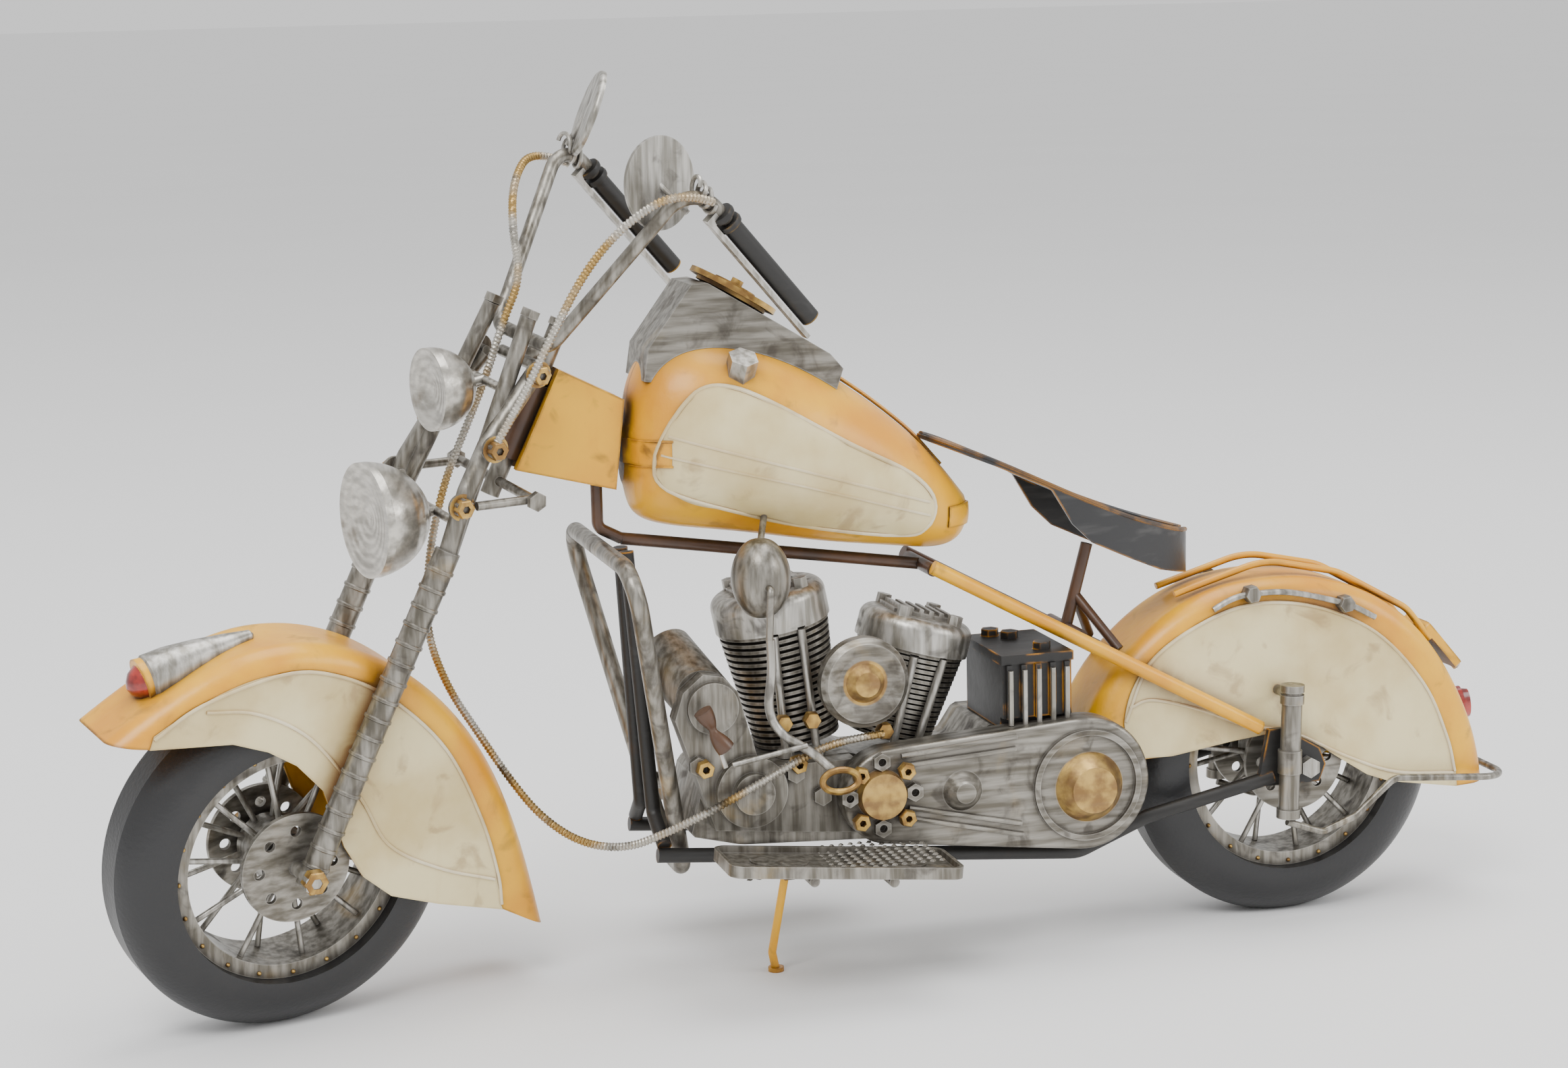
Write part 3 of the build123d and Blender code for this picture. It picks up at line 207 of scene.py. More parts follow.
def enamel(name, base, shade, grime_and_shade_color=UMBER, corner_shade_share=0.9, rim_wash=0.55, smudge=0.25):
    """Brushed enamel darkened with an umber colour: painted shade in its corners, wear along its edges and dirt
    in loose smudges.
    """
    f = Finish(name)
    clouds = f.noise(38.0, 4.0)
    streaks = f.noise(260.0, 2.0, (1.0, 1.0, 0.12))
    color = f.mix(f.ramp(clouds, 0.35, 0.72), base, shade)
    color = f.mix(f.ramp(streaks, 0.55, 0.85) * 0.25, color, shade)
    dirt = f.noise(95.0, 5.0, distortion=0.6)
    smudges = f.ramp(dirt, 0.57, 0.72) * smudge
    # painted shade: ambient occlusion darkens the corners, in patches set by the dirt noise
    corner = f.painted_shade(7.0) * f.ramp(dirt, 0.20, 0.52) * corner_shade_share
    worn = f.edge(1.2) * f.ramp(f.noise(150.0, 4.0), 0.34, 0.54) * rim_wash
    # painted corner shade, dirt smudges and edge wear, taken together
    shade_and_stain = f.maths("MAXIMUM", f.maths("MAXIMUM", smudges, corner), worn)
    color = f.mix(shade_and_stain, color, grime_and_shade_color)
    rough = 0.34 + shade_and_stain * 0.3 + streaks * 0.10
    height = f.noise(420.0, 3.0) + f.noise(60.0, 2.0) * 1.5
    return f.finish(color, rough, 0.0, height, 0.10, coat=0.25)


def silver_leaf(name, bright=SILVER, dull=SILVER_DULL, along=(1.0, 1.0, 0.10), corner_shade_strength=0.85,
                gold_touch=0.25, metal=0.85, rounds=()):
    """Brushed silver paint with painted shade in its corners, dark dirt blots, a painted highlight along its
    edges and touches of old gold.

    Each gilded round is X, Z and a radius in mm, and goes through from side to side.
    """
    f = Finish(name)
    brushed = f.noise(520.0, 3.0, along)
    clouds = f.noise(70.0, 5.0, distortion=0.4)
    color = f.mix(f.ramp(brushed, 0.30, 0.72), dull, bright)
    color = f.mix(f.ramp(clouds, 0.56, 0.76) * gold_touch, color, GOLD)
    dirt = f.noise(130.0, 5.0, distortion=0.8)
    # painted shade: ambient occlusion darkens the corners; the blots are dirt
    corner = f.painted_shade(3.5) * corner_shade_strength
    blots = f.ramp(dirt, 0.52, 0.70) * 0.6
    shade_and_stain = f.maths("MAXIMUM", corner, blots)
    color = f.mix(shade_and_stain, color, SHADE_AND_GRIME)
    # painted highlight: a lighter colour along sharp edges
    painted_edge_highlight = f.edge(0.5) * 0.35
    color = f.mix(painted_edge_highlight, color, (0.62, 0.60, 0.55, 1))
    if rounds:
        mask = 0.0
        for x, z, radius in rounds:
            mask = f.maths("MAXIMUM", mask, f.around((x, z), radius))
        aged = f.mix(f.ramp(f.noise(210.0, 5.0), 0.36, 0.66), BRONZE, GOLD)
        color = f.mix(mask * 0.9, color, aged)
    rough = 0.30 + shade_and_stain * 0.35 + brushed * 0.15
    height = brushed * 0.6 + f.noise(240.0, 3.0)
    return f.finish(color, rough, metal - shade_and_stain * 0.6, height, 0.12)


def old_gold(name, base=GOLD, shade=BRONZE):
    """Antique gold, with painted shade darkening its corners."""
    f = Finish(name)
    clouds = f.noise(210.0, 5.0, distortion=0.5)
    color = f.mix(f.ramp(clouds, 0.36, 0.66), shade, base)
    # painted shade: umber in the corners, from ambient occlusion
    shade_and_stain = f.painted_shade(2.5) * 0.85
    color = f.mix(shade_and_stain, color, UMBER)
    return f.finish(color, 0.34 + shade_and_stain * 0.3, 0.8 - shade_and_stain * 0.5, clouds + f.noise(700.0, 2.0) * 0.4, 0.12)


def satin_black(name, base=BLACK, worn=AMBER_DEEP, wear=0.0, rough=0.42, streak=0.2):
    """Satin black paint with faint grey streaks, worn through to a colour along its edges."""
    f = Finish(name)
    streaks = f.noise(330.0, 3.0, (0.10, 1.0, 1.0))
    color = f.mix(f.ramp(streaks, 0.52, 0.80) * streak, base, (0.09, 0.088, 0.085, 1))
    color = f.mix(f.ramp(f.noise(60.0, 4.0), 0.62, 0.75) * 0.25, color, UMBER)
    if wear:
        patches = f.ramp(f.noise(85.0, 4.0), 0.42, 0.58)
        color = f.mix(f.edge(0.9) * patches * wear, color, worn)
    return f.finish(color, rough + streaks * 0.12, 0.0, f.noise(380.0, 3.0), 0.08)


def tyre_rubber():
    f = Finish("tyre_black")
    dust = f.ramp(f.noise(30.0, 5.0), 0.5, 0.8)
    color = f.mix(dust * 0.35, (0.016, 0.016, 0.017, 1), (0.05, 0.048, 0.045, 1))
    fine = f.noise(900.0, 2.0)
    return f.finish(color, 0.38 + dust * 0.15, 0.0, fine + f.noise(45.0, 3.0) * 3.0, 0.10)


def lamp_red():
    f = Finish("lamp_red")
    color = f.mix(f.ramp(f.noise(160.0, 4.0), 0.42, 0.62), RED, RED_DEEP)
    # painted shade: umber in the corners, from ambient occlusion
    color = f.mix(f.painted_shade(3.0) * 0.8, color, UMBER)
    return f.finish(color, 0.2, 0.0, f.noise(300.0, 3.0), 0.1, coat=0.6)


def lamp_face(name, center, facing, rings):
    """Brushed lamp glass: fine rings about the lamp's axis and a dark seam of painted shade at its rim."""
    f = Finish(name)
    away = f.node("VectorMath", {"operation": "SUBTRACT"}, {0: f.place, 1: center})
    along = f.node("VectorMath", {"operation": "DOT_PRODUCT"}, {0: away, 1: facing}, "Value")
    length = f.node("VectorMath", {"operation": "LENGTH"}, {0: away}, "Value")
    off_axis = f.maths("SQRT", f.maths("MAXIMUM", length * length - along * along, 0.0)) * 1000.0
    ripple = f.maths("SINE", off_axis * rings)
    brushed = f.noise(480.0, 3.0, (1.0, 0.15, 1.0))
    color = f.mix(f.ramp(brushed, 0.3, 0.7), (0.36, 0.34, 0.30, 1), (0.62, 0.59, 0.53, 1))
    color = f.mix(f.ramp(f.noise(120.0, 4.0), 0.58, 0.72) * 0.5, color, (0.16, 0.12, 0.08, 1))
    # painted shade: dark at the rim and in corners, from ambient occlusion
    shade_and_stain = f.painted_shade(4.0) * 0.9
    color = f.mix(shade_and_stain, color, SHADE_AND_GRIME)
    return f.finish(color, 0.30 + shade_and_stain * 0.3, 0.85, ripple * 0.35 + brushed * 0.5, 0.18)


def wound_wire():
    """The finish of a wound cable: silver wire with gold and black stretches."""
    f = Finish("cable_wire")
    stretches = f.noise(55.0, 2.0)
    color = f.mix(f.ramp(stretches, 0.42, 0.58), (0.50, 0.47, 0.41, 1), (0.42, 0.27, 0.09, 1))
    color = f.mix(f.ramp(f.noise(90.0, 3.0), 0.56, 0.68) * 0.8, color, BLACK)
    # painted shade: black in the grooves of the winding, from ambient occlusion
    color = f.mix(f.painted_shade(1.2) * 0.9, color, BLACK)
    return f.finish(color, 0.36, 0.75, f.noise(600.0, 2.0), 0.05)


amber = enamel("amber_paint", AMBER, AMBER_DEEP, rim_wash=0.8, smudge=0.35)
amber_worn = enamel("amber_worn", AMBER, AMBER_DEEP, corner_shade_share=1.0, rim_wash=0.85, smudge=0.7)
cream = enamel("cream_paint", CREAM, CREAM_DULL, grime_and_shade_color=RUST, corner_shade_share=0.9, rim_wash=0.35, smudge=0.42)
cream_bead = enamel("cream_bead", (0.84, 0.75, 0.52, 1), CREAM_DULL, grime_and_shade_color=RUST, rim_wash=0.2, smudge=0.3)
silver = silver_leaf("silver_leaf")
silver_fine = silver_leaf("brushed_silver", along=(0.10, 1.0, 1.0), gold_touch=0.12, corner_shade_strength=0.9)
silver_bright = silver_leaf("silver_bright", (0.58, 0.56, 0.52, 1), (0.26, 0.245, 0.21, 1), gold_touch=0.1,
                            corner_shade_strength=0.7)
gold = old_gold("gold_paint")
brown = enamel("rust_brown", (0.10, 0.042, 0.016, 1), (0.035, 0.016, 0.008, 1), grime_and_shade_color=BLACK, smudge=0.5)
black = satin_black("black_paint", wear=0.9)
seat_black = satin_black("seat_black", (0.020, 0.020, 0.021, 1), wear=0.75, rough=0.33, streak=0.5)
grip_black = satin_black("grip_black", wear=0.9, worn=AMBER)
rubber = tyre_rubber()
red = lamp_red()
wire = wound_wire()

NODE_FINISH = {
    "front_tyre": rubber, "rear_tyre": rubber, "front_rim": silver, "rear_rim": silver,
    "front_hub": silver_bright,
    "rear_hub": silver_bright, "front_discs": silver_fine, "rear_discs": silver_fine,
    "front_axle": silver_bright,
    "rear_axle": silver_bright, "fork_leg_left": silver, "fork_leg_right": silver, "steering_stem": silver,
    "handlebar": silver, "grips": grip_black, "levers": silver_bright, "mirrors": silver_bright,
    "front_fender": amber, "front_fender_panels": cream, "rear_fender": amber, "rear_fender_panels": cream,
    "head_tube": brown, "neck_box": amber_worn, "backbone": brown, "down_tubes": black,
    "bottom_rail_left": black, "bottom_rail_right": black, "upper_stay_left": amber,
    "upper_stay_right": brown,
    "seat_post": brown, "crash_bar": silver, "tank_left": amber, "tank_right": amber, "tank_panels": cream,
    "tank_straps": amber_worn, "dash": silver_fine, "gauge": gold, "filler_caps": silver_bright,
    "seat": seat_black,
    "crankcase": silver, "front_cylinder": silver, "rear_cylinder": silver, "rocker_boxes": silver_bright,
    "pushrods": silver_bright, "timing_case": silver, "primary_cover": silver_fine, "air_horn": silver_fine,
    "oil_bottle": silver, "battery_box": black, "floorboard_left": silver, "floorboard_right": silver,
    "rack": amber,
    "tail_lamp": red, "rear_rail": silver, "shocks": silver, "kickstand": amber_worn}
NODE_FINISH["primary_cover"] = silver_leaf("gilded_cover", along=(0.10, 1.0, 1.0), gold_touch=0.12,
                                           corner_shade_strength=0.9,
                                           rounds=[(75.4, 49.2, 9.8), (15.4, 52.8, 6.9)])
NODE_FINISH["air_horn"] = silver_leaf("gilded_horn", along=(0.10, 1.0, 1.0), gold_touch=0.12, corner_shade_strength=0.9,
                                      rounds=[(12.4, 83.2, 6.2)])
for node, finish in NODE_FINISH.items():
    slots = frame["nodes"][node].data.materials
    slots.clear()
    slots.append(finish)


# ---------------------------------------------------------------- mesh making, in millimetres
class Batch:
    """Mesh of one finish on one body, gathered from many small shapes."""

    def __init__(self, name, body, slot, finish, steered=False):
        self.name, self.body, self.slot, self.finish, self.steered = name, body, slot, finish, steered
        self.mesh = bmesh.new()

    def grid(self, rows, closed_around=True, closed_along=False, caps=True):
        """Faces between rows of points."""
        rings = [[self.mesh.verts.new(point) for point in row] for row in rows]
        count = len(rings[0])
        pairs = list(zip(rings, rings[1:] + rings[:1])) if closed_along else list(zip(rings, rings[1:]))
        for one, two in pairs:
            for i in range(count if closed_around else count - 1):
                j = (i + 1) % count
                self.mesh.faces.new((one[i], one[j], two[j], two[i]))
        if caps and closed_around and not closed_along:
            self.mesh.faces.new(rings[0][::-1])
            self.mesh.faces.new(rings[-1])
        return self

    def tube(self, points, radius, sides=12, closed=False, winding=0.0, pitch=1.3):
        """A round bar along points, or a wound wire where winding is the depth of its grooves."""
        points = [Vector(point) for point in points]
        count = len(points)
        rows = []
        normal = None
        travelled = 0.0
        for i, point in enumerate(points):
            before = points[i - 1] if i or closed else point
            after = points[(i + 1) % count] if i < count - 1 or closed else point
            along = (after - before).normalized()
            if normal is None:
                normal = along.orthogonal().normalized()
            normal = (normal - along * normal.dot(along)).normalized()
            side = along.cross(normal)
            if i:
                travelled += (point - points[i - 1]).length
            row = []
            for k in range(sides):
                turn = 2 * pi * k / sides
                size = radius(i / (count - 1)) if callable(radius) else radius
                size -= winding * (0.5 - 0.5 * cos(2 * pi * travelled / pitch + turn)) if winding else 0.0
                row.append(point + (normal * cos(turn) + side * sin(turn)) * size)
            rows.append(row)
        return self.grid(rows, closed_along=closed)

    def lathe(self, center, axis, profile, sides=32):
        """A turned shape: profile is radius and height above the centre along the axis."""
        axis = Vector(axis).normalized()
        across = axis.orthogonal().normalized()
        other = axis.cross(across)
        rows = []
        for radius, height in profile:
            row = []
            for k in range(sides):
                turn = 2 * pi * k / sides
                spread = (across * cos(turn) + other * sin(turn)) * max(radius, 0.01)
                row.append(Vector(center) + axis * height + spread)
            rows.append(row)
        return self.grid(rows)

    def nut(self, center, axis, across, height, hole=0.0, turn=0.0):
        """A hexagon nut with a chamfered top and, where asked, a hole."""
        axis = Vector(axis).normalized()
        side = Matrix.Rotation(turn, 3, axis) @ axis.orthogonal().normalized()
        other = axis.cross(side)
        corner = across / 2 / cos(pi / 6)
        profile = [(corner, 0), (corner, height * 0.86), (corner * 0.9, height)]
        if hole:
            profile += [(hole, height), (hole, height * 0.2)]
        rows = []
        for radius, up in profile:
            count = [2 * pi * k / 6 for k in range(6)]
            rows.append([Vector(center) + axis * up + (side * cos(a) + other * sin(a)) * radius for a in count])
        return self.grid(rows)

    def done(self, smooth=True):
        """The finished piece, in metres, on its body."""
        self.mesh.transform(Matrix.Scale(MM, 4))
        if self.steered:
            self.mesh.transform(TURN)
        bmesh.ops.recalc_face_normals(self.mesh, faces=self.mesh.faces)
        data = bpy.data.meshes.new(self.name)
        self.mesh.to_mesh(data)
        self.mesh.free()
        piece = bpy.data.objects.new(self.name, data)
        bpy.context.scene.collection.objects.link(piece)
        data.materials.append(self.finish)
        if smooth:
            data.shade_smooth()
            data.set_sharp_from_angle(angle=radians(35))
        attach(piece, self.body)
        return piece


def smooth_path(points, steps=6, closed=False):
    """A smooth line through points."""
    points = [Vector(point) for point in points]
    count = len(points)
    path = []
    for i in range(count if closed else count - 1):
        a = points[(i - 1) % count] if closed or i else points[0] * 2 - points[1]
        b, c = points[i], points[(i + 1) % count]
        d = points[(i + 2) % count] if closed or i < count - 2 else c * 2 - b
        for k in range(steps):
            t = k / steps
            path.append(0.5 * ((2 * b) + (c - a) * t + (2 * a - 5 * b + 4 * c - d) * t * t
                               + (3 * b - a - 3 * c + d) * t * t * t))
    if not closed:
        path.append(points[-1])
    return path


# ---------------------------------------------------------------- camera, lights and floor
camera_data = bpy.data.cameras.new("camera")
camera = bpy.data.objects.new("camera", camera_data)
bpy.context.scene.collection.objects.link(camera)
AZIMUTH, ELEVATION, ROLL, DISTANCE = -0.273, 0.174, -0.025, 0.82443
AIM = Vector((-0.001676, 0, 0.120504))
back = Vector((sin(AZIMUTH) * cos(ELEVATION), -cos(AZIMUTH) * cos(ELEVATION), sin(ELEVATION)))
level = Vector((cos(AZIMUTH), sin(AZIMUTH), 0))
upright = back.cross(level)
rolled = level * cos(ROLL) + upright * sin(ROLL)
aimed = Matrix((rolled, back.cross(rolled), back)).transposed().to_4x4()
camera.matrix_world = Matrix.Translation(AIM + back * DISTANCE) @ aimed
camera_data.lens, camera_data.sensor_width = 69.2, 36.0
camera_data.clip_start, camera_data.clip_end = 0.01, 300.0
bpy.context.scene.camera = camera


def soft_light(name, place, size, power):
    data = bpy.data.lights.new(name, "AREA")
    data.shape, data.size, data.size_y, data.energy = "RECTANGLE", size, size * 0.7, power
    lamp = bpy.data.objects.new(name, data)
    bpy.context.scene.collection.objects.link(lamp)
    lamp.location = place
    lamp.rotation_mode = "QUATERNION"
    lamp.rotation_quaternion = (Vector((0, 0, 0.1)) - Vector(place)).to_track_quat("-Z", "Y")


soft_light("key_light", (-0.7, -1.0, 1.5), 0.9, 20.0)
soft_light("top_light", (0.3, 0.1, 1.7), 1.3, 16.0)
soft_light("side_light", (1.2, -0.8, 0.7), 0.8, 7.0)
SKY_STRENGTH = 0.95
FLOOR_REACH = 80.0
world = bpy.data.worlds.new("studio")
world.use_nodes = True
world.node_tree.nodes["Background"].inputs["Color"].default_value = (1, 1, 1, 1)
world.node_tree.nodes["Background"].inputs["Strength"].default_value = SKY_STRENGTH
bpy.context.scene.world = world

floor_mesh = bpy.data.meshes.new("studio_floor")
corners = [(x * FLOOR_REACH, y * FLOOR_REACH, 0) for x, y in ((-1, -1), (1, -1), (1, 1), (-1, 1))]
floor_mesh.from_pydata(corners, [], [(0, 1, 2, 3)])
floor = bpy.data.objects.new("studio_floor", floor_mesh)
bpy.context.scene.collection.objects.link(floor)
floor.location.z = CAD_BOX[0].z
paper = Finish("studio_paper")
floor_mesh.materials.append(paper.finish(paper.mix(paper.noise(3.0), (0.86, 0.86, 0.86, 1),
                                                   (0.9, 0.9, 0.9, 1)), 0.7))

# ---------------------------------------------------------------- finding a surface to lie on
def skin(*nodes):
    """The surfaces of CAD nodes, to lay fine pieces on."""
    made = bmesh.new()
    for node in nodes:
        made.from_mesh(frame["nodes"][node].data)
    tree = BVHTree.FromBMesh(made)
    made.free()
    return tree


def on_side(tree, x, z, side, lift=0.0):
    """The point of a surface at X and Z, as seen from the left or right side."""
    hit = tree.ray_cast(Vector((x * MM, side * 0.1, z * MM)), Vector((0, -side, 0)))[0]
    return Vector((x, hit.y / MM + side * lift, z)) if hit else None


def laid_on(tree, outline, side, lift):
    """An outline in X and Z laid on a side, without the points that miss it."""
    found = [on_side(tree, x, z, side, lift) for x, _, z in outline]
    return [point for point in found if point]


# ---------------------------------------------------------------- tank
TANK_PANEL = [(-41.0, 145.0), (-36.8, 155.6), (-30.0, 163.2), (-22.0, 164.6), (-10.8, 160.2), (11.3, 147.4),
              (30.0, 137.4), (37.4, 129.0), (35.4, 121.6), (27.8, 119.9), (-0.6, 125.0), (-19.2, 130.4),
              (-37.4, 137.2)]
TANK_LINES = (((-37.6, 152.0), (0.0, 140.5), (35.6, 129.0)), ((-39.4, 147.0), (0.1, 136.3), (36.0, 125.2)))
tank_skin = skin("tank_left", "tank_right", "tank_panels")
beads = Batch("tank_beads", "frame", "cream_paint", cream_bead)
for side in (LEFT, RIGHT):
    outline = smooth_path([(x, 0, z) for x, z in TANK_PANEL], 5, closed=True)
    beads.tube(laid_on(tank_skin, outline, side, 0.1), 0.62, 8, closed=True)
    for line in TANK_LINES:
        beads.tube(laid_on(tank_skin, smooth_path([(x, 0, z) for x, z in line], 12), side, -0.1), 0.42, 6)
beads.done()

seam = Batch("tank_seam", "frame", "amber_paint", amber)
TANK_TOP_LINE = [(-36.0, 0, 176.6), (-25.0, 0, 178.6), (-5.0, 0, 174.0), (15.0, 0, 162.6), (33.0, 0, 148.6),
                 (43.6, 0, 137.0)]
seam.tube(smooth_path(TANK_TOP_LINE, 6), 0.55, 8)
strap_edge = smooth_path([(-45.6, 0, 150.2), (-41.0, 0, 150.6), (-36.6, 0, 150.6)], 4)
for side in (LEFT, RIGHT):
    for height in (0.0, -6.8):
        line = [(x, 0, z + height) for x, _, z in strap_edge]
        seam.tube(laid_on(tank_skin, line, side, 0.1), 0.35, 6)
seam.done()

# ---------------------------------------------------------------- fenders
PANEL_Y = FENDER_HALF_WIDTH + PANEL_SHEET
FRONT_TOP_BEAD = [(-183.2, 89.4), (-170.2, 96.4), (-148.3, 101.0), (-133.5, 98.2), (-118.4, 89.2),
                  (-102.9, 72.6),
                  (-92.6, 51.0), (-87.6, 34.0), (-86.4, 24.8)]
FRONT_LOW_BEAD = [(-169.3, 94.4), (-155.8, 91.7), (-141.2, 82.2), (-127.9, 63.8), (-119.8, 48.9),
                  (-105.1, 39.2),
                  (-88.6, 32.6)]
REAR_TOP_BEAD = [(92.4, 62.6), (99.8, 78.6), (114.9, 88.6), (131.5, 93.2), (150.3, 91.0), (169.4, 82.0),
                 (184.6, 65.8),
                 (192.2, 49.6), (195.0, 38.8)]
REAR_LOW_BEAD = [(93.6, 66.5), (100.4, 68.2), (114.7, 64.2), (129.2, 58.3), (143.8, 54.7), (161.0, 46.2),
                 (176.0, 40.4),
                 (194.4, 38.4)]
for name, lines, steered, body in (("front", (FRONT_TOP_BEAD, FRONT_LOW_BEAD), True, "front_fork"),
                                   ("rear", (REAR_TOP_BEAD, REAR_LOW_BEAD), False, "frame")):
    bead = Batch(name + "_fender_beads", body, "cream_paint", cream_bead, steered)
    for side in (LEFT, RIGHT):
        for line in lines:
            bead.tube(smooth_path([(x, side * PANEL_Y, z) for x, z in line], 7), 0.5, 8)
    bead.done()

# lamp on the front fender, in its tapering fairing
fender_lamp = Batch("fender_lamp", "front_fork", "red_paint", red, True)
fender_lamp.lathe((-178.6, 0, 100.2), (-0.93, 0, -0.28),
                  [(5.0, -1.5), (5.3, 0), (4.9, 2.2), (3.6, 4.4), (2.0, 5.6), (0.4, 6.2)], 24)
fender_lamp.done()
fairing = Batch("lamp_fairing", "front_fork", "silver_leaf", silver_bright, True)
fairing.lathe((-178.8, 0, 100.2), (28.2, 0, 7.6),
              [(5.6, -0.6), (6.5, 0.3), (6.3, 6), (5.0, 14), (3.2, 22), (1.5, 28.6), (0.3, 29.4)], 28)
fairing.done()

# trim rod along the rear fender's side, held by two nuts
trim = Batch("fender_trim", "frame", "silver_leaf", silver_bright)
trim_nuts = Batch("fender_trim_nuts", "frame", "brushed_silver", silver)
TRIM_LINE = [(118.4, 92.8), (124.0, 95.4), (130.2, 96.4), (142.0, 96.0), (159.2, 91.4), (168.4, 86.8)]
for side in (LEFT, RIGHT):
    trim.tube(smooth_path([(x, side * 15.9, z) for x, z in TRIM_LINE], 6), 0.85, 10)
    for x, z in (TRIM_LINE[2], TRIM_LINE[4]):
        trim_nuts.nut((x, side * 13.6, z), (0, side, 0), 4.4, 4.0, turn=0.4)
trim.done()
trim_nuts.done()

# ---------------------------------------------------------------- wound control cables
CABLE_RADIUS = 1.2
clutch_route = [(-39.4, -39.4, 218.6), (-50.0, -40.6, 222.5), (-61.0, -34.0, 214.5), (-69.5, -27.5, 201.5),
                (-77.5, -24.6, 184.5), (-86.0, -24.2, 168.0), (-93.0, -24.6, 158.0)]
brake_route = [(-38.8, 39.4, 215.5), (-49.8, 39.8, 220.5), (-60.5, 30.5, 214.0), (-67.6, 17.0, 203.5),
               (-70.8, 5.6, 193.0), (-77.8, 2.6, 182.0), (-80.8, 5.4, 168.0), (-85.0, 8.6, 154.0),
               (-91.5, 7.6, 141.5), (-95.6, 6.6, 129.0), (-98.0, 6.0, 117.0)]
# in the frame's own place, not turned with the steering
engine_route = [(-99.2, 4.0, 117.6), (-100.6, 4.4, 101.0), (-95.0, 8.0, 84.0), (-86.6, 10.5, 70.0),
                (-79.0, 10.0, 57.0),
                (-71.5, 4.0, 46.4), (-62.5, -6.0, 40.6), (-52.5, -16.5, 41.0), (-44.0, -24.0, 46.0),
                (-34.0, -27.8, 51.2), (-21.5, -29.0, 57.2), (-8.0, -27.8, 63.5), (5.0, -26.0, 68.0),
                (18.0, -24.0, 68.0)]


def spline_path(route, steps):
    """Evenly smooth points along the spline that a route steers, in millimetres."""
    data = bpy.data.curves.new("route", "CURVE")
    data.dimensions = "3D"
    data.resolution_u = steps
    line = data.splines.new("NURBS")
    line.points.add(len(route) - 1)
    for point, place in zip(line.points, route):
        point.co = (*place, 1.0)
    line.order_u = 3
    line.use_endpoint_u = True
    carrier = bpy.data.objects.new("route", data)
    bpy.context.scene.collection.objects.link(carrier)
    bpy.context.view_layer.update()
    mesh = bpy.data.meshes.new_from_object(carrier)
    path = [vertex.co.copy() for vertex in mesh.vertices]
    bpy.data.objects.remove(carrier)
    bpy.data.meshes.remove(mesh)
    return path


def cable(name, route, body, nodes, steered):
    """A wound wire cable along a route."""
    winding = Batch(name, body, "cable_wire", wire, steered)
    winding.tube(spline_path(route, 56), CABLE_RADIUS, 10, winding=0.34, pitch=1.05)
    piece = winding.done()
    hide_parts(*nodes)
    return piece


cable("clutch_cable", clutch_route, "front_fork", ["control_cables"], True)
turned_route = [TURN @ (Vector(point) * MM) / MM for point in brake_route]
whole_brake = cable("brake_cable_winding", turned_route + engine_route[1:], "front_fork", ["brake_cable"],
                    False)
whole_brake.parent = None
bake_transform(whole_brake)

# ---------------------------------------------------------------- handlebar fittings
bar_wire = Batch("bar_wire_loops", "front_fork", "silver_leaf", silver_bright, True)
for side in (LEFT, RIGHT):
    coils = []
    for step in range(46):
        turn = 2 * pi * step / 15
        along = step / 45
        coils.append((-42.6 + 5.0 * along + 0.4 * sin(turn), side * (35.4 + 2.7 * cos(turn)),
                      222.4 - 5.0 * along + 2.7 * sin(turn)))
    bar_wire.tube(smooth_path(coils, 2), 0.62, 8)
bar_wire.done()

grip_ring = Batch("grip_collars", "front_fork", "grip_black", grip_black, True)
bar_run = (Vector((-6.6, 36.0, 184.6)) - Vector((-43.0, 35.4, 223.6))).normalized()
for side in (LEFT, RIGHT):
    run = Vector((bar_run.x, side * bar_run.y, bar_run.z))
    end = Vector((-6.6, side * 36.0, 184.6))
    for back_step in (38.4, 41.6):
        grip_ring.lathe(end - run * back_step, run, [(1.9, 0), (3.3, 0.2), (3.5, 1.0), (3.3, 1.9),
                                                     (1.9, 2.1)], 20)
grip_ring.done()

# ---------------------------------------------------------------- fork and front end
fork_gold = Batch("fork_nuts", "front_fork", "gold_paint", gold, True)
wraps = Batch("fork_sleeve_wraps", "front_fork", "silver_leaf", silver, True)
for side in (LEFT, RIGHT):
    for x, y, z in ((-77.5, 17.3, 172.5), (-91.0, 19.6, 154.6), (-101.0, 20.5, 140.6)):
        fork_gold.lathe((x, side * (y - 0.6), z), (0, side, 0), [(3.6, 0), (3.6, 0.7), (1.6, 0.8)], 20)
        fork_gold.nut((x, side * (y + 0.1), z), (0, side, 0), 4.6, 2.6, hole=1.1, turn=0.3)
    fork_gold.nut((FRONT_X + 0.4, side * 21.9, 46.5), (0, side, 0), 6.0, 3.0, hole=1.6, turn=0.2)
    for step in range(17):
        z = 48.6 + step * 4.7
        x = -143.0 + 0.4746 * (z - 46.5)
        wraps.lathe((x, side * LEG_Y, z), (0.4746, 0, 1), [(3.3, -0.75), (3.75, -0.35), (3.75, 0.35),
                                                           (3.3, 0.75)], 20)
fork_gold.done()
wraps.done()

# ---------------------------------------------------------------- tank top
bronze_ring = Batch("tank_ring", "frame", "gold_paint", gold)
ring_turn = [(4.6 + 2.3 * cos(a * pi / 12), 1.1 * sin(a * pi / 12),
              171.3 + 1.2 * sin(a * pi / 12)) for a in range(24)]
bronze_ring.tube(ring_turn, 0.6, 8, closed=True)
bronze_ring.done()

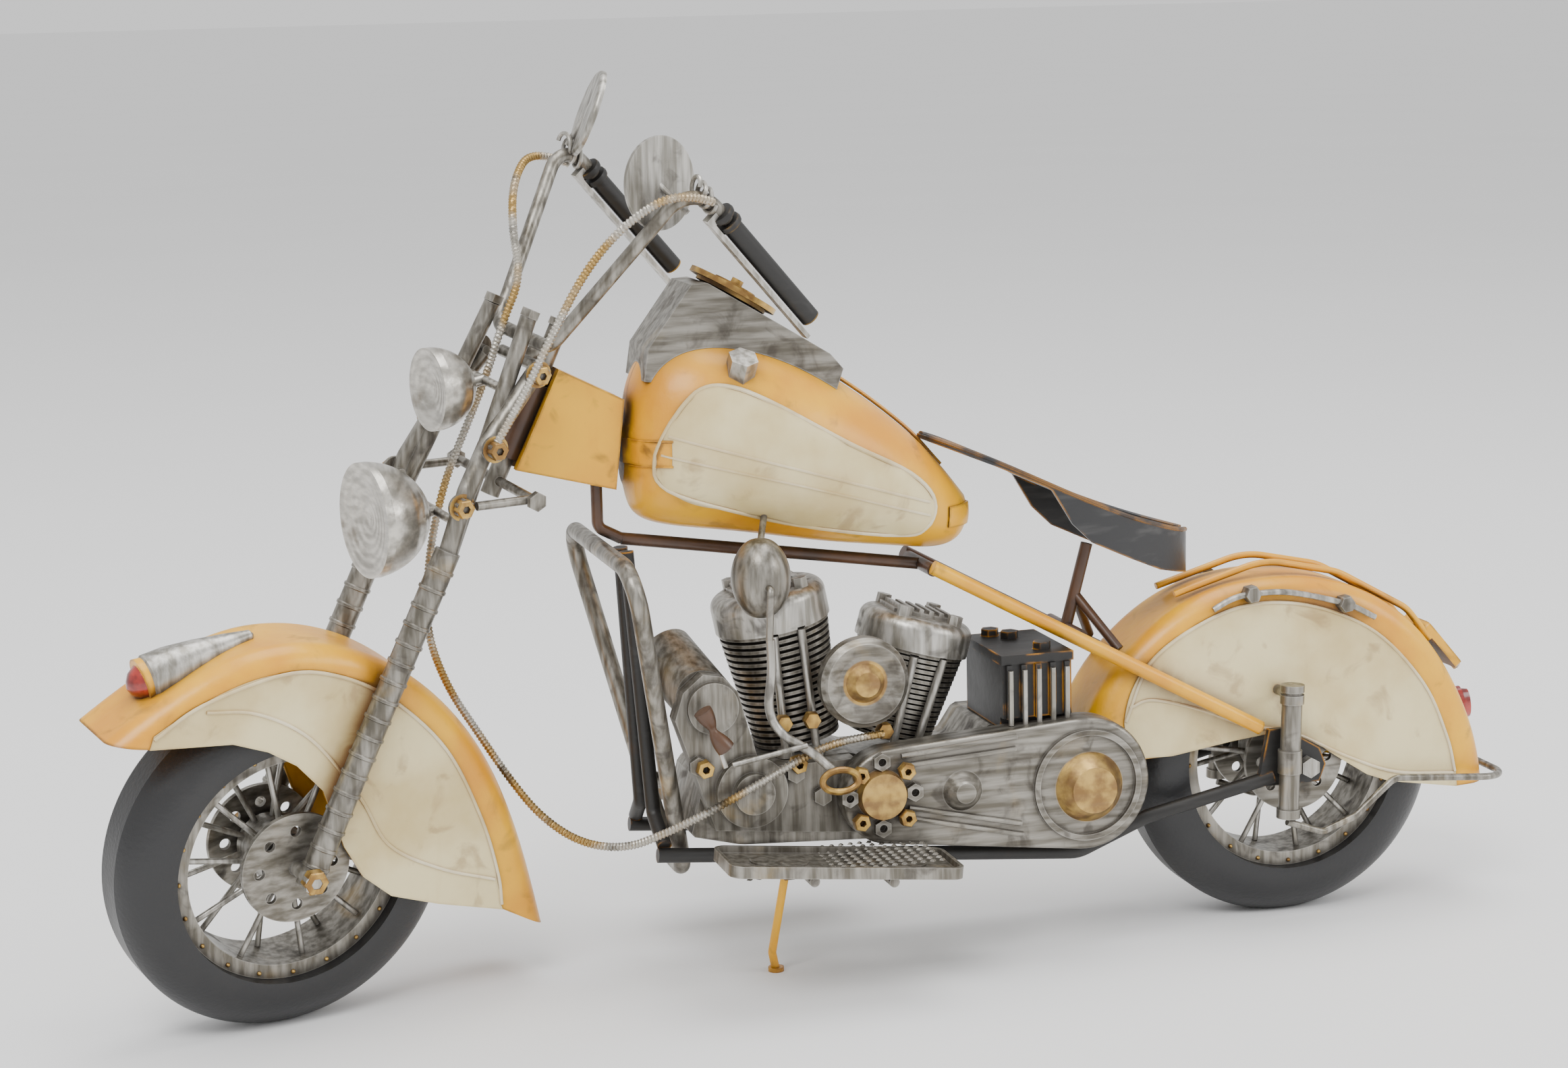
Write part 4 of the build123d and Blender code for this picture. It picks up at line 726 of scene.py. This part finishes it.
# ---------------------------------------------------------------- engine
rods = Batch("engine_rods", "frame", "silver_leaf", silver_bright)
rods.tube(smooth_path([(-13.4, -26, 97.0), (-13.3, -26, 88.5), (-14.2, -26, 78.5), (-11.4, -27, 71.7),
                       (-4.0, -29.5, 66.3),
                       (1.4, -33, 61.4)], 6), 1.25, 12)
rods.tube([(-25.8, -30, 64.8), (-5.1, -30, 68.3)], 0.75, 10)
rods.tube([(-31.0, -30, 75.0), (-27.7, -30, 64.4)], 0.75, 10)
rods.done()
ring_pedal = Batch("ring_pedal", "frame", "gold_paint", gold)
oval = [(2.8 + 5.0 * cos(a * pi / 14), -34.0, 58.8 + 3.0 * sin(a * pi / 14)) for a in range(28)]
ring_pedal.tube(oval, 0.95, 10, closed=True)
for x, z in ((-31.9, 62.9), (-18.9, 53.8), (-6.0, 61.8)):
    ring_pedal.nut((x, -22.5, z), (0, -1, 0), 4.4, 3.2, hole=1.1, turn=0.5)
for x, z in ((-8.6, 72.3), (-0.6, 72.5), (19.9, 67.7)):
    ring_pedal.nut((x, -18.0, z), (0, -1, 0), 4.2, 3.0, turn=0.2)
for turn in range(4):
    angle = pi / 4 + turn * pi / 2
    ring_pedal.nut((15.4 + 9.2 * cos(angle), -31.2, 52.8 + 9.2 * sin(angle)), (0, -1, 0), 4.2, 2.6,
                   hole=1.0)
ring_pedal.done()
lever = Batch("choke_lever", "frame", "rust_brown", brown)
lever.tube(smooth_path([(-33.6, -30, 80.2), (-31.6, -30, 76.6), (-30.2, -30, 73.2), (-27.5, -30, 69.5)], 5),
           lambda t: 0.9 + 1.7 * abs(cos(pi * t)), 12)
lever.done()
ribs = Batch("battery_ribs", "frame", "silver_leaf", silver_bright)
for step in range(5):
    ribs.tube([(54.4 + step * 4.1, -25.5, 67.4), (54.4 + step * 4.1, -25.5, 82.6)], 0.75, 8)
ribs.done()
cover_ribs = Batch("cover_ribs", "frame", "brushed_silver", silver_fine)
COVER_RIBS = (((21.3, 62.9), (54.4, 65.4)), ((22.9, 45.6), (55.9, 37.6)), ((21.6, 60.2), (54.0, 62.0)),
              ((23.2, 48.4), (55.4, 40.8)))
for start, end in COVER_RIBS:
    cover_ribs.tube([(start[0], -29.9, start[1]), (end[0], -29.9, end[1])], 0.7, 8)
cover_ribs.done()

# ---------------------------------------------------------------- rear end
hook = Batch("rear_hook", "frame", "silver_leaf", silver_bright)
hook.tube(smooth_path([(189.4, 0, 79.0), (196.6, 0, 73.0), (203.0, 0, 66.4)], 5), 1.3, 10)
hook.done()
saddle_edge = Batch("seat_edge", "frame", "seat_black", seat_black)
seat_skin = skin("seat")


def seat_rim(side):
    """The seat's outer edge on one side: the widest point of the sheet at each station."""
    edge = []
    for step in range(27):
        x = 39.0 + step * 2.96
        for across in range(68):
            y = side * (17.0 - across * 0.25)
            hit = seat_skin.ray_cast(Vector((x, y, 200.0)) * MM, Vector((0, 0, -1)))[0]
            if hit:
                edge.append(Vector((x, y, hit.z / MM)))
                break
    return edge


for side in (LEFT, RIGHT):
    edge = seat_rim(side)
    saddle_edge.tube([point + Vector((0, -side * 0.4, 0.1)) for point in edge], 0.75, 8)
saddle_edge.done()

# ---------------------------------------------------------------- repeated small pieces
def repeated(name, build):
    """A group of repeated shapes made by geometry nodes, baked to a plain mesh."""
    group = bpy.data.node_groups.new(name, "GeometryNodeTree")
    group.interface.new_socket("Geometry", in_out="OUTPUT", socket_type="NodeSocketGeometry")
    build(group)
    data = bpy.data.meshes.new(name)
    carrier = bpy.data.objects.new(name, data)
    bpy.context.scene.collection.objects.link(carrier)
    modifier = carrier.modifiers.new("repeat", "NODES")
    modifier.node_group = group
    bpy.context.view_layer.update()
    made = bpy.data.meshes.new_from_object(carrier.evaluated_get(bpy.context.evaluated_depsgraph_get()))
    bpy.data.objects.remove(carrier)
    return made


def painted_end(group, socket, material):
    """Close a group: instances made real, and given their material."""
    real = group.nodes.new("GeometryNodeRealizeInstances")
    paint = group.nodes.new("GeometryNodeSetMaterial")
    paint.inputs["Material"].default_value = material
    out = group.nodes.new("NodeGroupOutput")
    group.links.new(socket, real.inputs["Geometry"])
    group.links.new(real.outputs["Geometry"], paint.inputs["Geometry"])
    group.links.new(paint.outputs["Geometry"], out.inputs[0])


def settle(name, data, body):
    """A ready mesh as a piece on its body."""
    piece = bpy.data.objects.new(name, data)
    bpy.context.scene.collection.objects.link(piece)
    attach(piece, body)


def ring_of(group, material, count, ring_radius, half_width, size):
    """Small domes on two rings about Y, one on each side of a wheel."""
    nodes, links = group.nodes, group.links
    join = nodes.new("GeometryNodeJoinGeometry")
    for side in (LEFT, RIGHT):
        ring = nodes.new("GeometryNodeMeshCircle")
        ring.inputs["Vertices"].default_value = count
        ring.inputs["Radius"].default_value = ring_radius * MM
        dome = nodes.new("GeometryNodeMeshUVSphere")
        dome.inputs["Segments"].default_value = 10
        dome.inputs["Rings"].default_value = 6
        dome.inputs["Radius"].default_value = size * MM
        place = nodes.new("GeometryNodeInstanceOnPoints")
        links.new(ring.outputs["Mesh"], place.inputs["Points"])
        links.new(dome.outputs["Mesh"], place.inputs["Instance"])
        turned = nodes.new("GeometryNodeTransform")
        turned.inputs["Translation"].default_value = (0, side * half_width * MM, 0)
        turned.inputs["Rotation"].default_value = (pi / 2, 0, 0)
        links.new(place.outputs["Instances"], turned.inputs["Geometry"])
        links.new(turned.outputs["Geometry"], join.inputs["Geometry"])
    painted_end(group, join.outputs["Geometry"], material)


for wheel, axle_x, steered in (("front_wheel", FRONT_X, True), ("rear_wheel", REAR_X, False)):
    rivets = repeated(wheel + "_rivets", lambda group: ring_of(group, gold, 20, 30.9, 8.9, 0.62))
    rivets.transform(Matrix.Translation(Vector((axle_x, 0, WHEEL_RADIUS)) * MM))
    if steered:
        rivets.transform(TURN)
    rivets.shade_smooth()
    settle(wheel + "_rivets", rivets, wheel)


def tread_of(group, material, low, high, step, top, size):
    """A grid of small raised lozenges on a flat plate."""
    nodes, links = group.nodes, group.links
    grid = nodes.new("GeometryNodeMeshGrid")
    grid.inputs["Size X"].default_value = (high[0] - low[0]) * MM
    grid.inputs["Size Y"].default_value = (high[1] - low[1]) * MM
    grid.inputs["Vertices X"].default_value = int((high[0] - low[0]) / step) + 1
    grid.inputs["Vertices Y"].default_value = int((high[1] - low[1]) / step) + 1
    stud = nodes.new("GeometryNodeMeshCone")
    stud.inputs["Vertices"].default_value = 4
    stud.inputs["Radius Top"].default_value = size * 0.5 * MM
    stud.inputs["Radius Bottom"].default_value = size * MM
    stud.inputs["Depth"].default_value = 0.5 * MM
    place = nodes.new("GeometryNodeInstanceOnPoints")
    moved = nodes.new("GeometryNodeTransform")
    moved.inputs["Translation"].default_value = [(low[0] + high[0]) / 2 * MM, (low[1] + high[1]) / 2 * MM,
                                                 top * MM]
    links.new(grid.outputs["Mesh"], place.inputs["Points"])
    links.new(stud.outputs["Mesh"], place.inputs["Instance"])
    links.new(place.outputs["Instances"], moved.inputs["Geometry"])
    painted_end(group, moved.outputs["Geometry"], material)


for side, label in ((LEFT, "left"), (RIGHT, "right")):
    board = skin("floorboard_" + label)
    low, high = sorted((side * 26.0, side * 49.0))
    plate = board.ray_cast(Vector((0, side * 0.037, 0.2)), Vector((0, 0, -1)))[0].z / MM
    tread = repeated("floorboard_tread_" + label,
                     lambda group: tread_of(group, silver_fine, (-27.0, low), (26.0, high), 2.6,
                                            plate + 0.15, 0.9))
    settle("floorboard_tread_" + label, tread, "frame")

# ---------------------------------------------------------------- lamp glasses
ahead = (TURN.to_3x3() @ Vector((-1, 0, 0))).normalized()
for node in ("headlamp", "spot_lamp"):
    points = [vertex.co for vertex in frame["nodes"][node].data.vertices]
    middle = sum(points, Vector()) / len(points)
    slots = frame["nodes"][node].data.materials
    slots.clear()
    slots.append(lamp_face(node + "_face", tuple(middle), tuple(ahead), 2.6))
